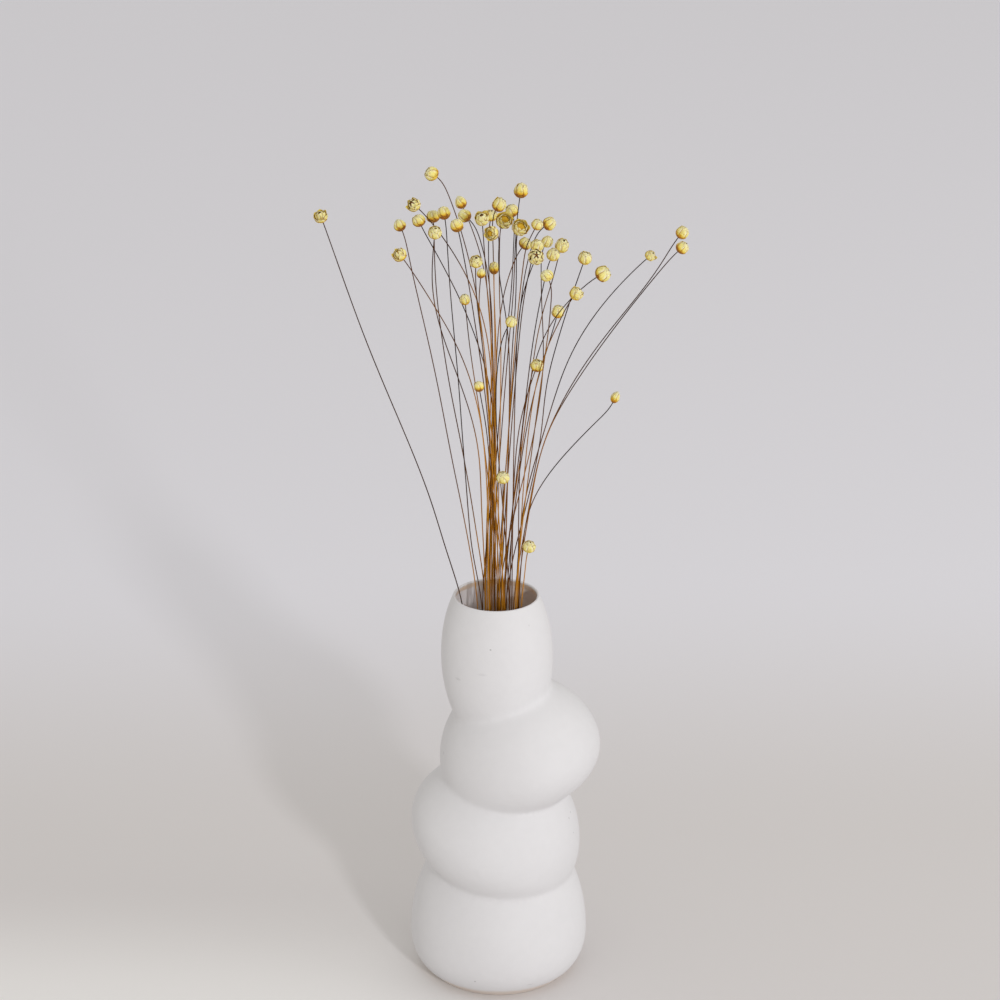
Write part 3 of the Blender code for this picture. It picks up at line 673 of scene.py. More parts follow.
# %% Flowers
Flower = namedtuple("Flower", "column row depth width open turn lean stretch passes")
FLOWERS = (
    Flower(321, 217, -10, 13.0, 0.95, -20, 45, 1.0,
           ((364, 336), (389, 397), (411, 449), (432, 505), (447, 561), (459, 602))),
    Flower(432, 174, 14, 13.5, 0.50, -60, 20, 1.05,
           ((452, 201), (457, 217), (464, 240), (472, 270), (482, 330), (489, 400))),
    Flower(414, 205, -5, 13.3, 0.90, -55, 50, 1.0,
           ((434, 224), (447, 241), (460, 263), (471, 283), (485, 322), (492, 380))),
    Flower(400, 226, 15, 11.2, 0.15, -25, 10, 1.1,
           ((412, 272), (428, 340), (439, 391), (452, 460), (464, 517), (471, 557), (477, 608))),
    Flower(419, 221, 25, 12.4, 0.40, -25, 25, 1.05,
           ((429, 240), (439, 257), (450, 280), (460, 297), (477, 341), (489, 378), (495, 450))),
    Flower(433, 217, 40, 12.5, 0.30, -5, 10, 1.05,
           ((435, 278), (441, 332), (451, 394), (462, 447), (473, 510), (480, 556), (485, 603))),
    Flower(444, 213.5, 22, 11.8, 0.40, -10, 5, 1.2,
           ((448, 258), (451, 302), (458, 375), (463, 445), (468, 507), (472, 558), (481, 606))),
    Flower(435, 233, -20, 12.9, 0.60, 10, 50, 1.05,
           ((431, 285), (438, 323), (458, 377), (472, 417), (480, 454), (481, 500), (486, 600))),
    Flower(400, 255, -25, 13.5, 0.80, -40, 40, 1.0,
           ((421, 284), (439, 314), (454, 338), (468, 371), (480, 414), (486, 467), (489, 600))),
    Flower(461, 203, 35, 10.4, 0.05, -25, 10, 1.25,
           ((477, 240), (484, 265), (491, 330))),
    Flower(465, 216, 20, 12.0, 0.30, -50, 15, 1.15, ((482, 240), (487, 262), (492, 300))),
    Flower(457, 226, -5, 12.3, 0.40, -15, 15, 1.15,
           ((461, 240), (468, 279), (476, 330), (488, 420))),
    Flower(482, 219, 5, 14.0, 0.80, -5, 55, 1.0,
           ((485, 243), (488, 302), (492, 350), (496, 450))),
    Flower(491, 216, 45, 11.5, 0.50, 10, 30, 1.05, ((488, 245), (490, 300), (494, 380))),
    Flower(499, 205, 28, 13.0, 0.50, 35, 25, 1.2, ((493, 240), (494, 290), (495, 340))),
    Flower(512, 211, 45, 12.5, 0.50, -15, 25, 1.1, ((513, 256), (512, 290), (508, 320))),
    Flower(521, 191, 34, 13.0, 0.35, 10, 10, 1.24,
           ((517, 214), (515, 240), (514, 290), (509, 340))),
    Flower(504, 221, 8, 15.5, 1.00, 40, 60, 1.0, ((498, 240), (499, 283), (501, 340))),
    Flower(492, 233, -28, 13.5, 0.90, -110, 50, 1.0, ((497, 270), (504, 302), (509, 340))),
    Flower(520, 228, -15, 15.7, 1.00, 35, 60, 1.0, ((518, 252), (516, 302), (512, 350))),
    Flower(525, 244, 34, 12.2, 0.35, 40, 20, 1.0, ((510, 270), (503, 294), (498, 329))),
    Flower(537, 225, 12, 11.0, 0.40, 30, 30, 1.05, ((525, 249), (522, 276), (517, 320))),
    Flower(549, 224, 25, 12.3, 0.35, 60, 15, 1.15, ((529, 250), (525, 270), (520, 310))),
    Flower(537, 246, 8, 12.2, 0.40, 25, 30, 1.05, ((529, 260), (524, 295), (519, 340))),
    Flower(547, 242, 20, 11.0, 0.40, 35, 30, 1.12,
           ((540, 265), (541, 294), (543, 329), (544, 365), (535, 430))),
    Flower(562, 246, 12, 12.9, 0.45, 20, 40, 1.2,
           ((555, 274), (547, 297), (540, 320), (535, 347), (526, 420))),
    Flower(536, 257, -35, 15.2, 0.55, 20, 78, 1.0,
           ((532, 267), (525, 282), (519, 311), (516, 365))),
    Flower(553, 255, 0, 12.3, 0.35, 30, 40, 1.1,
           ((544, 283), (538, 311), (532, 347), (528, 380), (521, 440))),
    Flower(547, 276, -45, 12.2, 0.40, -28, 20, 1.0,
           ((553, 297), (550, 320), (545, 356), (536, 420))),
    Flower(585, 258.5, 10, 12.6, 0.45, 20, 35, 1.12,
           ((577, 284), (564, 319), (556, 347), (545, 387), (542, 434), (528, 500))),
    Flower(602.5, 274, -30, 15.4, 0.35, 62, 25, 1.0,
           ((579, 286), (565, 302), (553, 318), (541, 341), (534, 365), (522, 430))),
    Flower(576, 294, -38, 13.0, 0.80, 40, 25, 1.1,
           ((562, 317), (550, 338), (542, 361), (531, 410))),
    Flower(558, 312, -2, 12.0, 0.50, 15, 25, 1.2,
           ((554, 330), (547, 350), (539, 374), (526, 430))),
    Flower(650, 256, 10, 10.3, 0.60, 50, 35, 1.0,
           ((627, 276), (592, 317), (567, 360), (549, 415), (537, 454), (524, 500), (516, 600))),
    Flower(682, 233, 18, 12.0, 0.40, 40, 20, 1.15,
           ((654, 276), (600, 342), (570, 386), (557, 411), (541, 446), (533, 490), (518, 600))),
    Flower(682, 248, 2, 12.0, 0.40, 50, 20, 1.1,
           ((657, 274), (602, 344), (572, 388), (548, 428), (535, 474), (525, 530), (514, 600))),
    Flower(615, 398, -8, 8.0, 0.00, 25, 5, 1.5,
           ((600, 418), (570, 448), (543, 480), (527, 510), (523, 542), (519, 600))),
    Flower(476, 262, -31, 12.3, 0.65, 5, 50, 1.05, ((476, 300), (482, 340))),
    Flower(481, 274, -12, 7.9, 0.20, 5, 10, 1.3, ((478, 300), (483, 350), (489, 420))),
    Flower(494, 268.5, 20, 9.0, 0.50, 0, 0, 1.55, ((494, 300), (496, 338))),
    Flower(465, 300, -15, 9.6, 0.40, -5, 30, 1.25, ((468, 334), (474, 377), (481, 420))),
    Flower(511, 322, -38, 10.8, 0.40, 35, 35, 1.12, ((500, 346), (497, 365), (496, 420))),
    Flower(537, 366, -24, 12.8, 0.6, 20, 30, 1.05, ((527, 394), (518, 431), (514, 480))),
    Flower(479, 387, -37, 9.5, 0.60, -10, 15, 1.25, ((484, 405), (487, 430), (490, 470))),
    Flower(503, 478, -31, 12.5, 0.45, 0, 40, 1.0, ((502, 605),)),
    Flower(529, 547, -14, 12.5, 0.45, 15, 35, 1.0, ((525, 574), (521, 603))),
)
print("flowers:", len(FLOWERS))

# %% Where a head sits and faces
HEAD_MIDDLE = 0.95
BELLY_SHARE = 0.54
OPEN_REACH = 0.10
GAP = 0.0003


def head_place(flower):
    """Where the middle of a head is."""
    return from_photo(flower.column, flower.row, flower.depth / 1000)


def facing(flower):
    """A head's axis: turned clockwise from upright in the view, leant to the viewer."""
    right, up, forward = view_axes()
    turn = math.radians(flower.turn)
    lean = math.radians(flower.lean)
    flat = right * math.sin(turn) + up * math.cos(turn)
    return (flat * math.cos(lean) - forward * math.sin(lean)).normalized()


def head_radius(flower):
    """The belly radius that gives a head its width in the view."""
    width = flower.width * (head_place(flower) - VIEW_PLACE).length / VIEW_FOCAL
    return BELLY_SHARE * width / (1 + OPEN_REACH * flower.open)


def head_seat(flower):
    """Where a head sits on its stem."""
    half = HEAD_MIDDLE * head_radius(flower) * flower.stretch
    return head_place(flower) - facing(flower) * half


# %% [markdown]
# ## Stems
#
# A stem is a wiry straw half a millimetre thick. It stands on the vase's floor, rises
# nearly straight, passes the mouth in a place of its own, and bends out late, towards its
# head. The routes could be drawn point by point, but most of a stem is hidden by others. So
# each place in the mouth follows from the head's, and a smooth curve runs from there
# through the few pixels where that stem can be told apart.

# %% Places in the mouth
MOUTH_ROW = 597.0
MOUTH_SPREAD = (0.12, 0.28)
CROSSING = -0.12
TALL_STEM = 0.200
SHORT_STEM_POWER = 4
LIP_CENTRE = Vector((-0.0011, 0.0028))
LIP_REACH = 0.0175


def mouth_places():
    """Where each stem would pass the mouth if it had it to itself."""
    places = []
    for flower in FLOWERS:
        head = head_place(flower)
        short = max(0.0, 1 - (head.z - MOUTH_HEIGHT) / TALL_STEM) ** SHORT_STEM_POWER
        shares = [spread + (1 - spread) * short for spread in MOUTH_SPREAD]
        x = head.x * shares[0] + head.y * CROSSING * (1 - short)
        if flower.passes and flower.passes[-1][1] > MOUTH_ROW:
            x = from_photo(*flower.passes[-1], 0.0).x
        y = LIP_CENTRE.y * (1 - short) + head.y * shares[1]
        aside = Vector((x, y)) - LIP_CENTRE
        places.append(LIP_CENTRE + aside * min(1.0, LIP_REACH / aside.length))
    return places


places = mouth_places()
widest = max((place - LIP_CENTRE).length for place in places)
print("widest place in the mouth: %.1f mm" % (widest * 1000))

# %% A smooth curve
CURVE_PARTS = 12


def curve_point(knots, steps, at):
    """One point of the smooth curve between the middle two of four knots."""
    row = list(knots)
    for level in (1, 2, 3):
        for i in range(4 - level):
            low, high = (steps[i], steps[i + level]) if level < 3 else (steps[1], steps[2])
            row[i] = row[i].lerp(row[i + 1], (at - low) / (high - low))
    return row[0]


def smooth_curve(knots):
    """Close points on a smooth curve through the knots."""
    knots = [knots[0] * 2 - knots[1]] + knots + [knots[-1] * 2 - knots[-2]]
    steps = [0.0]
    for before, after in zip(knots, knots[1:]):
        steps.append(steps[-1] + math.sqrt((after - before).length))
    curve = []
    for i in range(1, len(knots) - 2):
        for part in range(CURVE_PARTS):
            at = steps[i] + (steps[i + 1] - steps[i]) * part / CURVE_PARTS
            curve.append(curve_point(knots[i - 1:i + 3], steps[i - 1:i + 3], at))
    return curve + [knots[-2]]


def spaced(curve, count, crowding):
    """That many points of a curve, crowded towards its last end."""
    lengths = [0.0]
    for before, after in zip(curve, curve[1:]):
        lengths.append(lengths[-1] + (after - before).length)
    points = []
    for i in range(count):
        want = lengths[-1] * (1 - (1 - i / (count - 1)) ** crowding)
        j = max(k for k in range(len(lengths) - 1) if lengths[k] <= want)
        share = (want - lengths[j]) / (lengths[j + 1] - lengths[j])
        points.append(curve[j].lerp(curve[j + 1], min(share, 1.0)))
    return points


# %% Each stem on its own
NECK = 0.004
NECK_FREE = 0.010
FOOT_SPREAD = 0.90
LOWEST_FREE = 0.058
DEPTH_POWER = 1.4


def wanted_line(flower, place):
    """The free part of a stem up to its neck, as it would run with no others near."""
    seat = head_seat(flower)
    mouth = Vector((*place, MOUTH_HEIGHT))
    foot = Vector((*(place * FOOT_SPREAD), LOWEST_FREE))
    knots = [foot, mouth]
    for column, row in reversed(flower.passes):
        share = (MOUTH_ROW - row) / (MOUTH_ROW - flower.row)
        if share > 0.0:
            spot = from_photo(column, row, mouth.y + (seat.y - mouth.y) * share ** DEPTH_POWER)
            if (spot - seat).length > NECK_FREE:
                knots.append(spot)
    along = facing(flower) + (seat - knots[-1]).normalized()
    return smooth_curve(knots + [seat - along.normalized() * NECK])


lines = [np.array(wanted_line(flower, place)) for flower, place in zip(FLOWERS, places)]
print("stems rise to %.0f mm" % (max(line[-1, 2] for line in lines) * 1000))

# %% [markdown]
# ## Stems that push each other aside
#
# Forty-six stems pass through a mouth less than 40 mm wide, and drawn one by one some would
# run through others, or through a head in front of them. Moving them by hand would take
# hours. So they are compared level by level: where two middle lines come too close, both
# are pushed apart, more in depth than across, and one that nears the vase's lip or wall is
# pushed in. Each stem's push is spread along it so that it stays a smooth curve.

# %% Pushes
STEM_SPACING = 0.0017
HEAD_SPACING = 0.0012
LIP_DEPTH = 0.012
WALL_SPACING = 0.0022
TOUCHING = 0.00001


def stem_pushes(spots, there):
    """How far each stem's points are pushed by stems that come too close."""
    apart = spots[:, None] - spots[None, :]
    distance = np.linalg.norm(apart, axis=2) + TOUCHING
    short = np.clip(STEM_SPACING - distance, 0.0, None) * (there[:, None] & there[None, :])
    short[np.arange(len(spots)), np.arange(len(spots))] = 0.0
    return (apart / distance[:, :, None] * short[:, :, None]).sum(axis=1)


def head_pushes(spots, there, heights):
    """How far each stem's points are pushed by the heads of the others."""
    push = np.zeros_like(spots)
    for number, flower in enumerate(FLOWERS):
        middle = head_place(flower)
        globe = head_radius(flower) * max(1 + OPEN_REACH * flower.open, flower.stretch)
        reach = (globe + HEAD_SPACING) ** 2 - (heights - middle.z) ** 2
        reach = np.sqrt(np.clip(reach, 0.0, None))
        apart = spots - np.array(middle.xy)[None, :, None]
        distance = np.linalg.norm(apart, axis=1) + TOUCHING
        short = np.clip(reach - distance, 0.0, None) * there
        short[number] = 0.0
        push += apart / distance[:, None] * short[:, None]
    return push


def free_circles(heights):
    """The circle that the vase leaves its stems at each level: its middle and its radius."""
    circles = []
    for height in heights:
        middle, reach = LIP_CENTRE, LIP_REACH
        if height > MOUTH_HEIGHT + STEM_SPACING * 2:
            reach = math.inf
        if height < MOUTH_HEIGHT - LIP_DEPTH:
            hollow, wide = hollow_section(height)
            middle, reach = hollow.xy, wide - WALL_SPACING
        circles.append((*middle, reach))
    return np.array(circles).T


def wall_pushes(spots, circles):
    """How far each stem's points are pushed in by the vase's lip and wall."""
    apart = spots - circles[None, :2]
    distance = np.linalg.norm(apart, axis=1) + TOUCHING
    over = np.clip(distance - circles[2], 0.0, None)
    return -apart / distance[:, None] * over[:, None]


# %% Easing
EASING_LEVELS = 70
SOFTENING_ROUNDS = 6
EASING_ROUNDS = 240
EASING_SHARE = 0.30
EASING_ACROSS = 0.45
HELD_LENGTH = 0.020


def by_level(lines):
    """The easing levels' heights, each stem's place at each, and whether it reaches it."""
    rows = [np.array(line) for line in lines]
    tops = np.array([row[-1, 2] for row in rows])
    heights = np.linspace(LOWEST_FREE, tops.max(), EASING_LEVELS)
    spots = [[np.interp(heights, row[:, 2], row[:, i]) for i in (0, 1)] for row in rows]
    return heights, np.array(spots), heights[None, :] <= tops[:, None]


def eased_lines(lines):
    """Every stem's free part, from above the vase's floor to its head."""
    heights, spots, there = by_level(lines)
    tops = np.array([line[-1, 2] for line in lines])
    free = np.clip((tops[:, None] - heights[None, :]) / HELD_LENGTH, 0.0, 1.0)[:, None]
    free = free * np.array((EASING_ACROSS, 1.0))[None, :, None]
    for _ in range(SOFTENING_ROUNDS):
        softer = (spots[:, :, :-2] + spots[:, :, 1:-1] * 2 + spots[:, :, 2:]) / 4
        spots[:, :, 1:-1] = np.where(there[:, None, 2:], softer, spots[:, :, 1:-1])
    moved = np.zeros_like(spots)
    circles = free_circles(heights)
    for _ in range(EASING_ROUNDS):
        now = spots + moved
        push = stem_pushes(now, there) + head_pushes(now, there, heights)
        push += wall_pushes(now, circles)
        moved += push * free * EASING_SHARE
        moved[:, :, 1:-1] = (moved[:, :, :-2] + moved[:, :, 1:-1] * 2 + moved[:, :, 2:]) / 4
    spots += moved * (free > 0.0)
    eased = []
    for flower, line, spot in zip(FLOWERS, lines, spots):
        below = heights < line[-1, 2] - NECK
        knots = [Vector(point) for point in zip(spot[0][below], spot[1][below], heights[below])]
        eased.append(smooth_curve(knots + [Vector(line[-1]), head_seat(flower)]))
    return eased


lines = eased_lines(lines)
print("points on the first stem's curve:", len(lines[0]))

# %% How thick the others stand round a stem
CROWD_REACH = 0.0040
CROWD_DEPTH = 0.35
CROWD_FULL = 2.6


def crowding(lines):
    """For each height, how closely each stem is hemmed in, from 0, alone, to 1.

    The depths are guessed, so they count for less than the distances across.
    """
    heights, spots, there = by_level(lines)
    apart = (spots[:, None] - spots[None, :]) * np.array((1.0, CROWD_DEPTH))[None, None, :, None]
    near = np.exp(-(np.linalg.norm(apart, axis=2) / CROWD_REACH) ** 2) * there[None, :]
    return heights, np.clip((near.sum(axis=1) - 1.0) / CROWD_FULL, 0.0, 1.0)


crowd_heights, crowd = crowding(lines)
mouth_level = np.searchsorted(crowd_heights, MOUTH_HEIGHT)
print("stems hemmed in at the mouth: %.2f" % crowd[:, mouth_level].mean())

# %% Stem tubes
STEM_RADIUS = 0.00024
STEM_ROUNDNESS = 2
STEM_POINTS = 90
TIP_CROWDING = 1.4
SMOOTHING_ROUNDS = 8
FOOT_THICKER = 1.12
TIP_THINNER = 0.92
KNEE_SWELL = 0.06
KNEES = 9.0
INTO_HEAD = 0.0006
chance = random.Random(46)


def stem(number, flower, line):
    """One stem as a round tube that thins a little towards its head."""
    name = "stem_%02d" % number
    foot = line[0]
    start = Vector((foot.x, foot.y, FLOOR_THICKNESS + GAP))
    route = [start, start.lerp(foot, 0.5)] + spaced(line, STEM_POINTS, TIP_CROWDING)
    route.append(head_seat(flower) + facing(flower) * INTO_HEAD)
    for _ in range(SMOOTHING_ROUNDS):
        route[1:-1] = [(a + b * 2 + c) / 4 for a, b, c in zip(route, route[1:], route[2:])]
    data = bpy.data.curves.new(name, "CURVE")
    data.dimensions = "3D"
    data.bevel_depth = STEM_RADIUS
    data.bevel_resolution = STEM_ROUNDNESS
    data.use_fill_caps = True
    spline = data.splines.new("POLY")
    spline.points.add(len(route) - 1)
    offset = chance.uniform(0.0, 50.0)
    for i, (point, spot) in enumerate(zip(spline.points, route)):
        point.co = (*spot, 1.0)
        share = i / (len(route) - 1)
        swell = noise.noise(Vector((offset, share * KNEES, 0.0))) * KNEE_SWELL
        point.radius = FOOT_THICKER + (TIP_THINNER - FOOT_THICKER) * share + swell
    made = bpy.data.objects.new(name, data)
    bpy.context.scene.collection.objects.link(made)
    pick(made)
    bpy.ops.object.convert(target="MESH")
    made = bpy.context.object
    open_mesh(made)
    bpy.ops.mesh.select_all(action="SELECT")
    bpy.ops.mesh.remove_doubles(threshold=TOUCHING)
    close_mesh()
    made.data.shade_smooth()
    heights = [vertex.co.z for vertex in made.data.vertices]
    store(made, "tone", [chance.random()] * len(heights))
    store(made, "hemmed", np.interp(heights, crowd_heights, crowd[number - 1]))
    return made


stems = [stem(i + 1, flower, lines[i]) for i, flower in enumerate(FLOWERS)]
print("stems:", len(stems), "triangles each:", triangles(stems[0]))

# %% [markdown]
# ## Stem finish
#
# A dried stem is straw-coloured inside a brown skin. One that stands alone looks dark brown,
# but where many stand together the light goes through one to the next, and the thick of the
# bunch glows orange. A plain brown would make it one dark mass. So that glow is painted: the
# colour turns ochre and golden where a stem is closely hemmed in by others. A tone of its own
# sets each stem apart, and long fine streaks follow the fibre.

# %% Stem material
GOLDEN_PAINTED_GLOW = (0.480, 0.205, 0.014)
OCHRE_PAINTED_GLOW = (0.290, 0.108, 0.006)
DARK_STRAW = (0.110, 0.036, 0.003)
LONE_BROWN = (0.085, 0.027, 0.004)
LONE_DARK = (0.020, 0.007, 0.003)
OWN_TONE_SHARE = 0.65
HEMMED_GLOW_CHANGE = (0.05, 0.85)
STEM_ROUGHNESS = (0.55, 0.75)
DULL_SPECULAR = 0.08

straw, tree, shader, place = new_material("dried_brown_stem")
streaks = noise_node(tree, place, 900.0, 3.0, stretch=(1.0, 1.0, 0.06))
tone = shared_node(tree, attribute_node(tree, "tone"), OWN_TONE_SHARE, streaks)
# Painted glow: where a stem is hemmed in by others it is coloured ochre and golden, for the light
# that passes from stem to stem.
together = ramp_node(tree, tone, ((0.28, DARK_STRAW), (0.42, OCHRE_PAINTED_GLOW), (0.70, GOLDEN_PAINTED_GLOW)))
alone = ramp_node(tree, tone, ((0.25, LONE_DARK), (0.80, LONE_BROWN)))
share = range_node(tree, attribute_node(tree, "hemmed"), *HEMMED_GLOW_CHANGE)
colour = mix_node(tree, share, alone, together)
paint_shader(tree, shader, colour, streaks, STEM_ROUGHNESS)
shader.inputs["Specular IOR Level"].default_value = DULL_SPECULAR
bump_node(tree, shader, ((streaks, 0.5, 0.00006),))

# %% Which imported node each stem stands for
INNER_STEMS = 14
STEMS_PER_SHEAF = 4


def sheaves(places):
    """Groups of stems that stand together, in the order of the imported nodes."""
    middle = places.mean(axis=0)
    out = np.linalg.norm(places - middle, axis=1)
    angle = np.arctan2(places[:, 1] - middle[1], places[:, 0] - middle[0])
    order = list(np.argsort(out))
    groups = []
    for ring in (order[:INNER_STEMS], order[INNER_STEMS:]):
        ring = sorted(ring, key=lambda index: angle[index])
        for start in range(0, len(ring), STEMS_PER_SHEAF):
            groups.append([int(index) for index in ring[start:start + STEMS_PER_SHEAF]])
    return groups


for number, members in enumerate(sheaves(np.array([line[0].xy for line in lines]))):
    for index in members:
        stems[index].data.materials.append(straw)
        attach(stems[index], "root")
        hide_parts("stems_%02d" % (number + 1))
print("sheaves replaced:", number + 1)

# %% [markdown]
# ## One bract
#
# A glixia head is a globe of thin papery bracts that overlap in a spiral: short brown
# scales at its base, then broad yellow bracts in three whorls that close over the florets,
# or open as a little cup. The globe could be a ball with painted lines, but its edges and
# its dark gaps are what the eye sees. So one flat bract is made, broad below and drawn in
# to its tip, and copies of it are rolled onto the globe.

# %% Flat bracts
BRACT_COLUMNS = 6
BRACT_ROWS = 10
Outline = namedtuple("Outline", "name base widest fall edge")
ROUND_TIP = Outline("round_bract", 0.55, 0.46, 2.6, 0.50)
POINTED_TIP = Outline("pointed_bract", 0.55, 0.40, 1.7, 0.95)
NARROWEST = 0.09


def bract_width(outline, along):
    """Half a bract's width at a share of its length, its widest being 1."""
    if along < outline.widest:
        rise = math.sin(along / outline.widest * math.pi / 2)
        return outline.base + (1 - outline.base) * rise
    fall = (along - outline.widest) / (1 - outline.widest)
    return max(NARROWEST, (1 - fall ** outline.fall) ** outline.edge)


def flat_bract(outline):
    """A sheet from -1 to 1 each way, drawn in row by row to the bract's outline."""
    bpy.ops.object.select_all(action="DESELECT")
    bpy.ops.mesh.primitive_grid_add(
        x_subdivisions=BRACT_COLUMNS, y_subdivisions=BRACT_ROWS, size=2.0,
    )
    sheet = bpy.context.object
    sheet.name = outline.name
    open_mesh(sheet)
    for row in range(BRACT_ROWS + 1):
        mesh = bmesh.from_edit_mesh(sheet.data)
        height = 2.0 * row / BRACT_ROWS - 1.0
        for vertex in mesh.verts:
            vertex.select_set(abs(vertex.co.y - height) < 0.01)
        width = bract_width(outline, row / BRACT_ROWS)
        bpy.ops.transform.resize(value=(width, 1.0, 1.0), center_override=(0.0, height, 0.0))
    close_mesh()
    return sheet


round_bract = flat_bract(ROUND_TIP)
pointed_bract = flat_bract(POINTED_TIP)
print("bract points:", len(round_bract.data.vertices))

# %% [markdown]
# ## Rolling a bract onto a globe
#
# Seen from the side, a bract follows a curve from the stem, out round the belly and in
# again over the top. Each whorl has two such curves, one for a shut head and one for a
# head that is wide open, and a head's own curve lies between them. One edge of a bract
# tucks under its neighbour and the other lies over the next, so the whole whorl turns.

# %% Whorls
Whorl = namedtuple("Whorl", "count half_width reach twist paleness shut wide")
SCALES = Whorl(
    6, 0.58, 1.035, 0.10, 0.60,
    ((0.12, 0.02), (0.46, 0.11), (0.84, 0.42), (1.00, 0.86)),
    ((0.12, 0.02), (0.46, 0.09), (0.82, 0.34), (1.01, 0.66)),
)
OUTER_WHORL = Whorl(
    6, 0.84, 1.00, 0.45, 1.0,
    ((0.12, 0.03), (0.50, 0.15), (0.86, 0.46), (1.00, 0.95), (0.78, 1.48), (0.36, 1.84)),
    ((0.12, 0.03), (0.48, 0.13), (0.84, 0.38), (1.02, 0.76), (1.08, 1.14), (1.14, 1.48)),
)
MIDDLE_WHORL = Whorl(
    5, 0.80, 0.92, 0.90, 1.0,
    ((0.12, 0.06), (0.50, 0.18), (0.86, 0.50), (0.98, 1.00), (0.72, 1.56), (0.26, 1.88)),
    ((0.12, 0.06), (0.48, 0.16), (0.84, 0.42), (0.98, 0.84), (0.98, 1.22), (0.92, 1.56)),
)
INNER_WHORL = Whorl(
    5, 0.72, 0.82, 0.20, 1.0,
    ((0.12, 0.10), (0.50, 0.22), (0.84, 0.56), (0.92, 1.10), (0.62, 1.64), (0.16, 1.86)),
    ((0.12, 0.10), (0.48, 0.20), (0.80, 0.46), (0.88, 0.90), (0.84, 1.26), (0.66, 1.50)),
)
WHORLS = (SCALES, OUTER_WHORL, MIDDLE_WHORL, INNER_WHORL)
BractShape = namedtuple("BractShape", "lean ripple tone")
SPIRAL = 0.055
HEAD_HEIGHT = 1.95
ROLL_LEAST = 0.34
WAVES = (4.0, 7.0, 9.0)
WAVE_LIFT = 0.5


def whorl_curve(whorl, openness):
    """A whorl's curve in radii: out and up, one point for each row of a bract."""
    knots = []
    for shut, wide in zip(whorl.shut, whorl.wide):
        knots.append(Vector((*shut, 0.0)).lerp(Vector((*wide, 0.0)), openness))
    return spaced(smooth_curve(knots), BRACT_ROWS + 1, 1.0)


def roll(sheet, whorl, openness, around, shape, radius, stretch):
    """A copy of a flat bract, rolled onto a globe that stands on its seat."""
    curve = whorl_curve(whorl, openness)
    made = own_copy(sheet)
    heights = []
    for index, vertex in enumerate(made.data.vertices):
        row, column = divmod(index, BRACT_COLUMNS + 1)
        across = column / BRACT_COLUMNS * 2 - 1
        along = row / BRACT_ROWS
        out, rise = curve[row].xy
        angle = around + shape.lean * along ** 2
        angle += vertex.co.x * whorl.half_width / max(out, ROLL_LEAST)
        phase = across * WAVES[0] + along * WAVES[1] + shape.tone * WAVES[2]
        wave = shape.ripple * math.sin(phase) * across ** 2 * along
        out = out * whorl.reach * (1 + SPIRAL * across + wave)
        rise = rise + wave * WAVE_LIFT
        vertex.co = (out * math.cos(angle), out * math.sin(angle), rise * stretch)
        vertex.co *= radius
        heights.append(rise / HEAD_HEIGHT * whorl.paleness)
    store(made, "height", heights)
    store(made, "tone", [shape.tone] * len(heights))
    return made


# %% [markdown]
# ## Florets and the knob on the stem
#
# Deep in the globe sits a small dome of dry florets, brown in some heads and golden in
# others. It is a ball whose faces are poked out to little points. Under the globe the stem
# swells to a brown knob, which the scales spring from.

# %% Small parts of a head
FLORET_POINT = 0.16

bpy.ops.object.select_all(action="DESELECT")
bpy.ops.mesh.primitive_ico_sphere_add(subdivisions=3, radius=1.0)
floret_dome = bpy.context.object
floret_dome.name = "floret_dome"
open_mesh(floret_dome)
bpy.ops.mesh.select_all(action="SELECT")
bpy.ops.mesh.poke(offset=FLORET_POINT)
close_mesh()

bpy.ops.object.select_all(action="DESELECT")
bpy.ops.mesh.primitive_uv_sphere_add(segments=14, ring_count=8, radius=1.0)
stem_knob = bpy.context.object
stem_knob.name = "stem_knob"
print("floret faces:", len(floret_dome.data.polygons))


def squashed(thing, wide, tall, centre, radius, stretch, height):
    """A copy of a small part, squashed and set on the head's axis."""
    made = own_copy(thing)
    size = Matrix.Diagonal((wide * radius, wide * radius, tall * radius * stretch, 1.0))
    made.data.transform(Matrix.Translation((0.0, 0.0, centre * radius * stretch)) @ size)
    count = len(made.data.vertices)
    store(made, "height", [height] * count)
    store(made, "tone", [0.5] * count)
    return made


# %% [markdown]
# ## Bract finish
#
# Bracts are dry, dull and thin as tissue, and a little light goes through them. They are
# dark brown where they spring from the stem, orange a little higher, lemon over the belly
# and cream at their tips. The colour could run along each bract, but then short and long
# bracts would disagree, so it follows the height in the head, and the short scales stay
# browner than the bracts behind them. Fine veins run along each bract by its own UV map,
# dry patches break its yellow, and a thin amber line of painted shade, for where the
# bracts' edges overlap, runs along its margin and fades at the tip. Inside the cup the same
# bracts are golden, and painted paler to lift the shade in the cup.

# %% Bract materials
OUTSIDE_STOPS = (
    (0.00, (0.280, 0.090, 0.005)),
    (0.08, (0.560, 0.235, 0.009)),
    (0.17, (0.800, 0.440, 0.022)),
    (0.28, (0.900, 0.650, 0.090)),
    (0.42, (0.910, 0.760, 0.210)),
    (0.62, (0.890, 0.790, 0.290)),
    (0.84, (0.870, 0.805, 0.380)),
    (1.00, (0.870, 0.830, 0.500)),
)
# Inside the cup the golden colours are painted paler, to lift the shade in the cup.
INSIDE_STOPS_PAINTED_PALER = (
    (0.00, (0.250, 0.095, 0.006)),
    (0.40, (0.600, 0.330, 0.012)),
    (0.70, (0.880, 0.740, 0.150)),
    (1.00, (0.920, 0.870, 0.480)),
)
PAPER_MARGIN = (0.930, 0.910, 0.700)
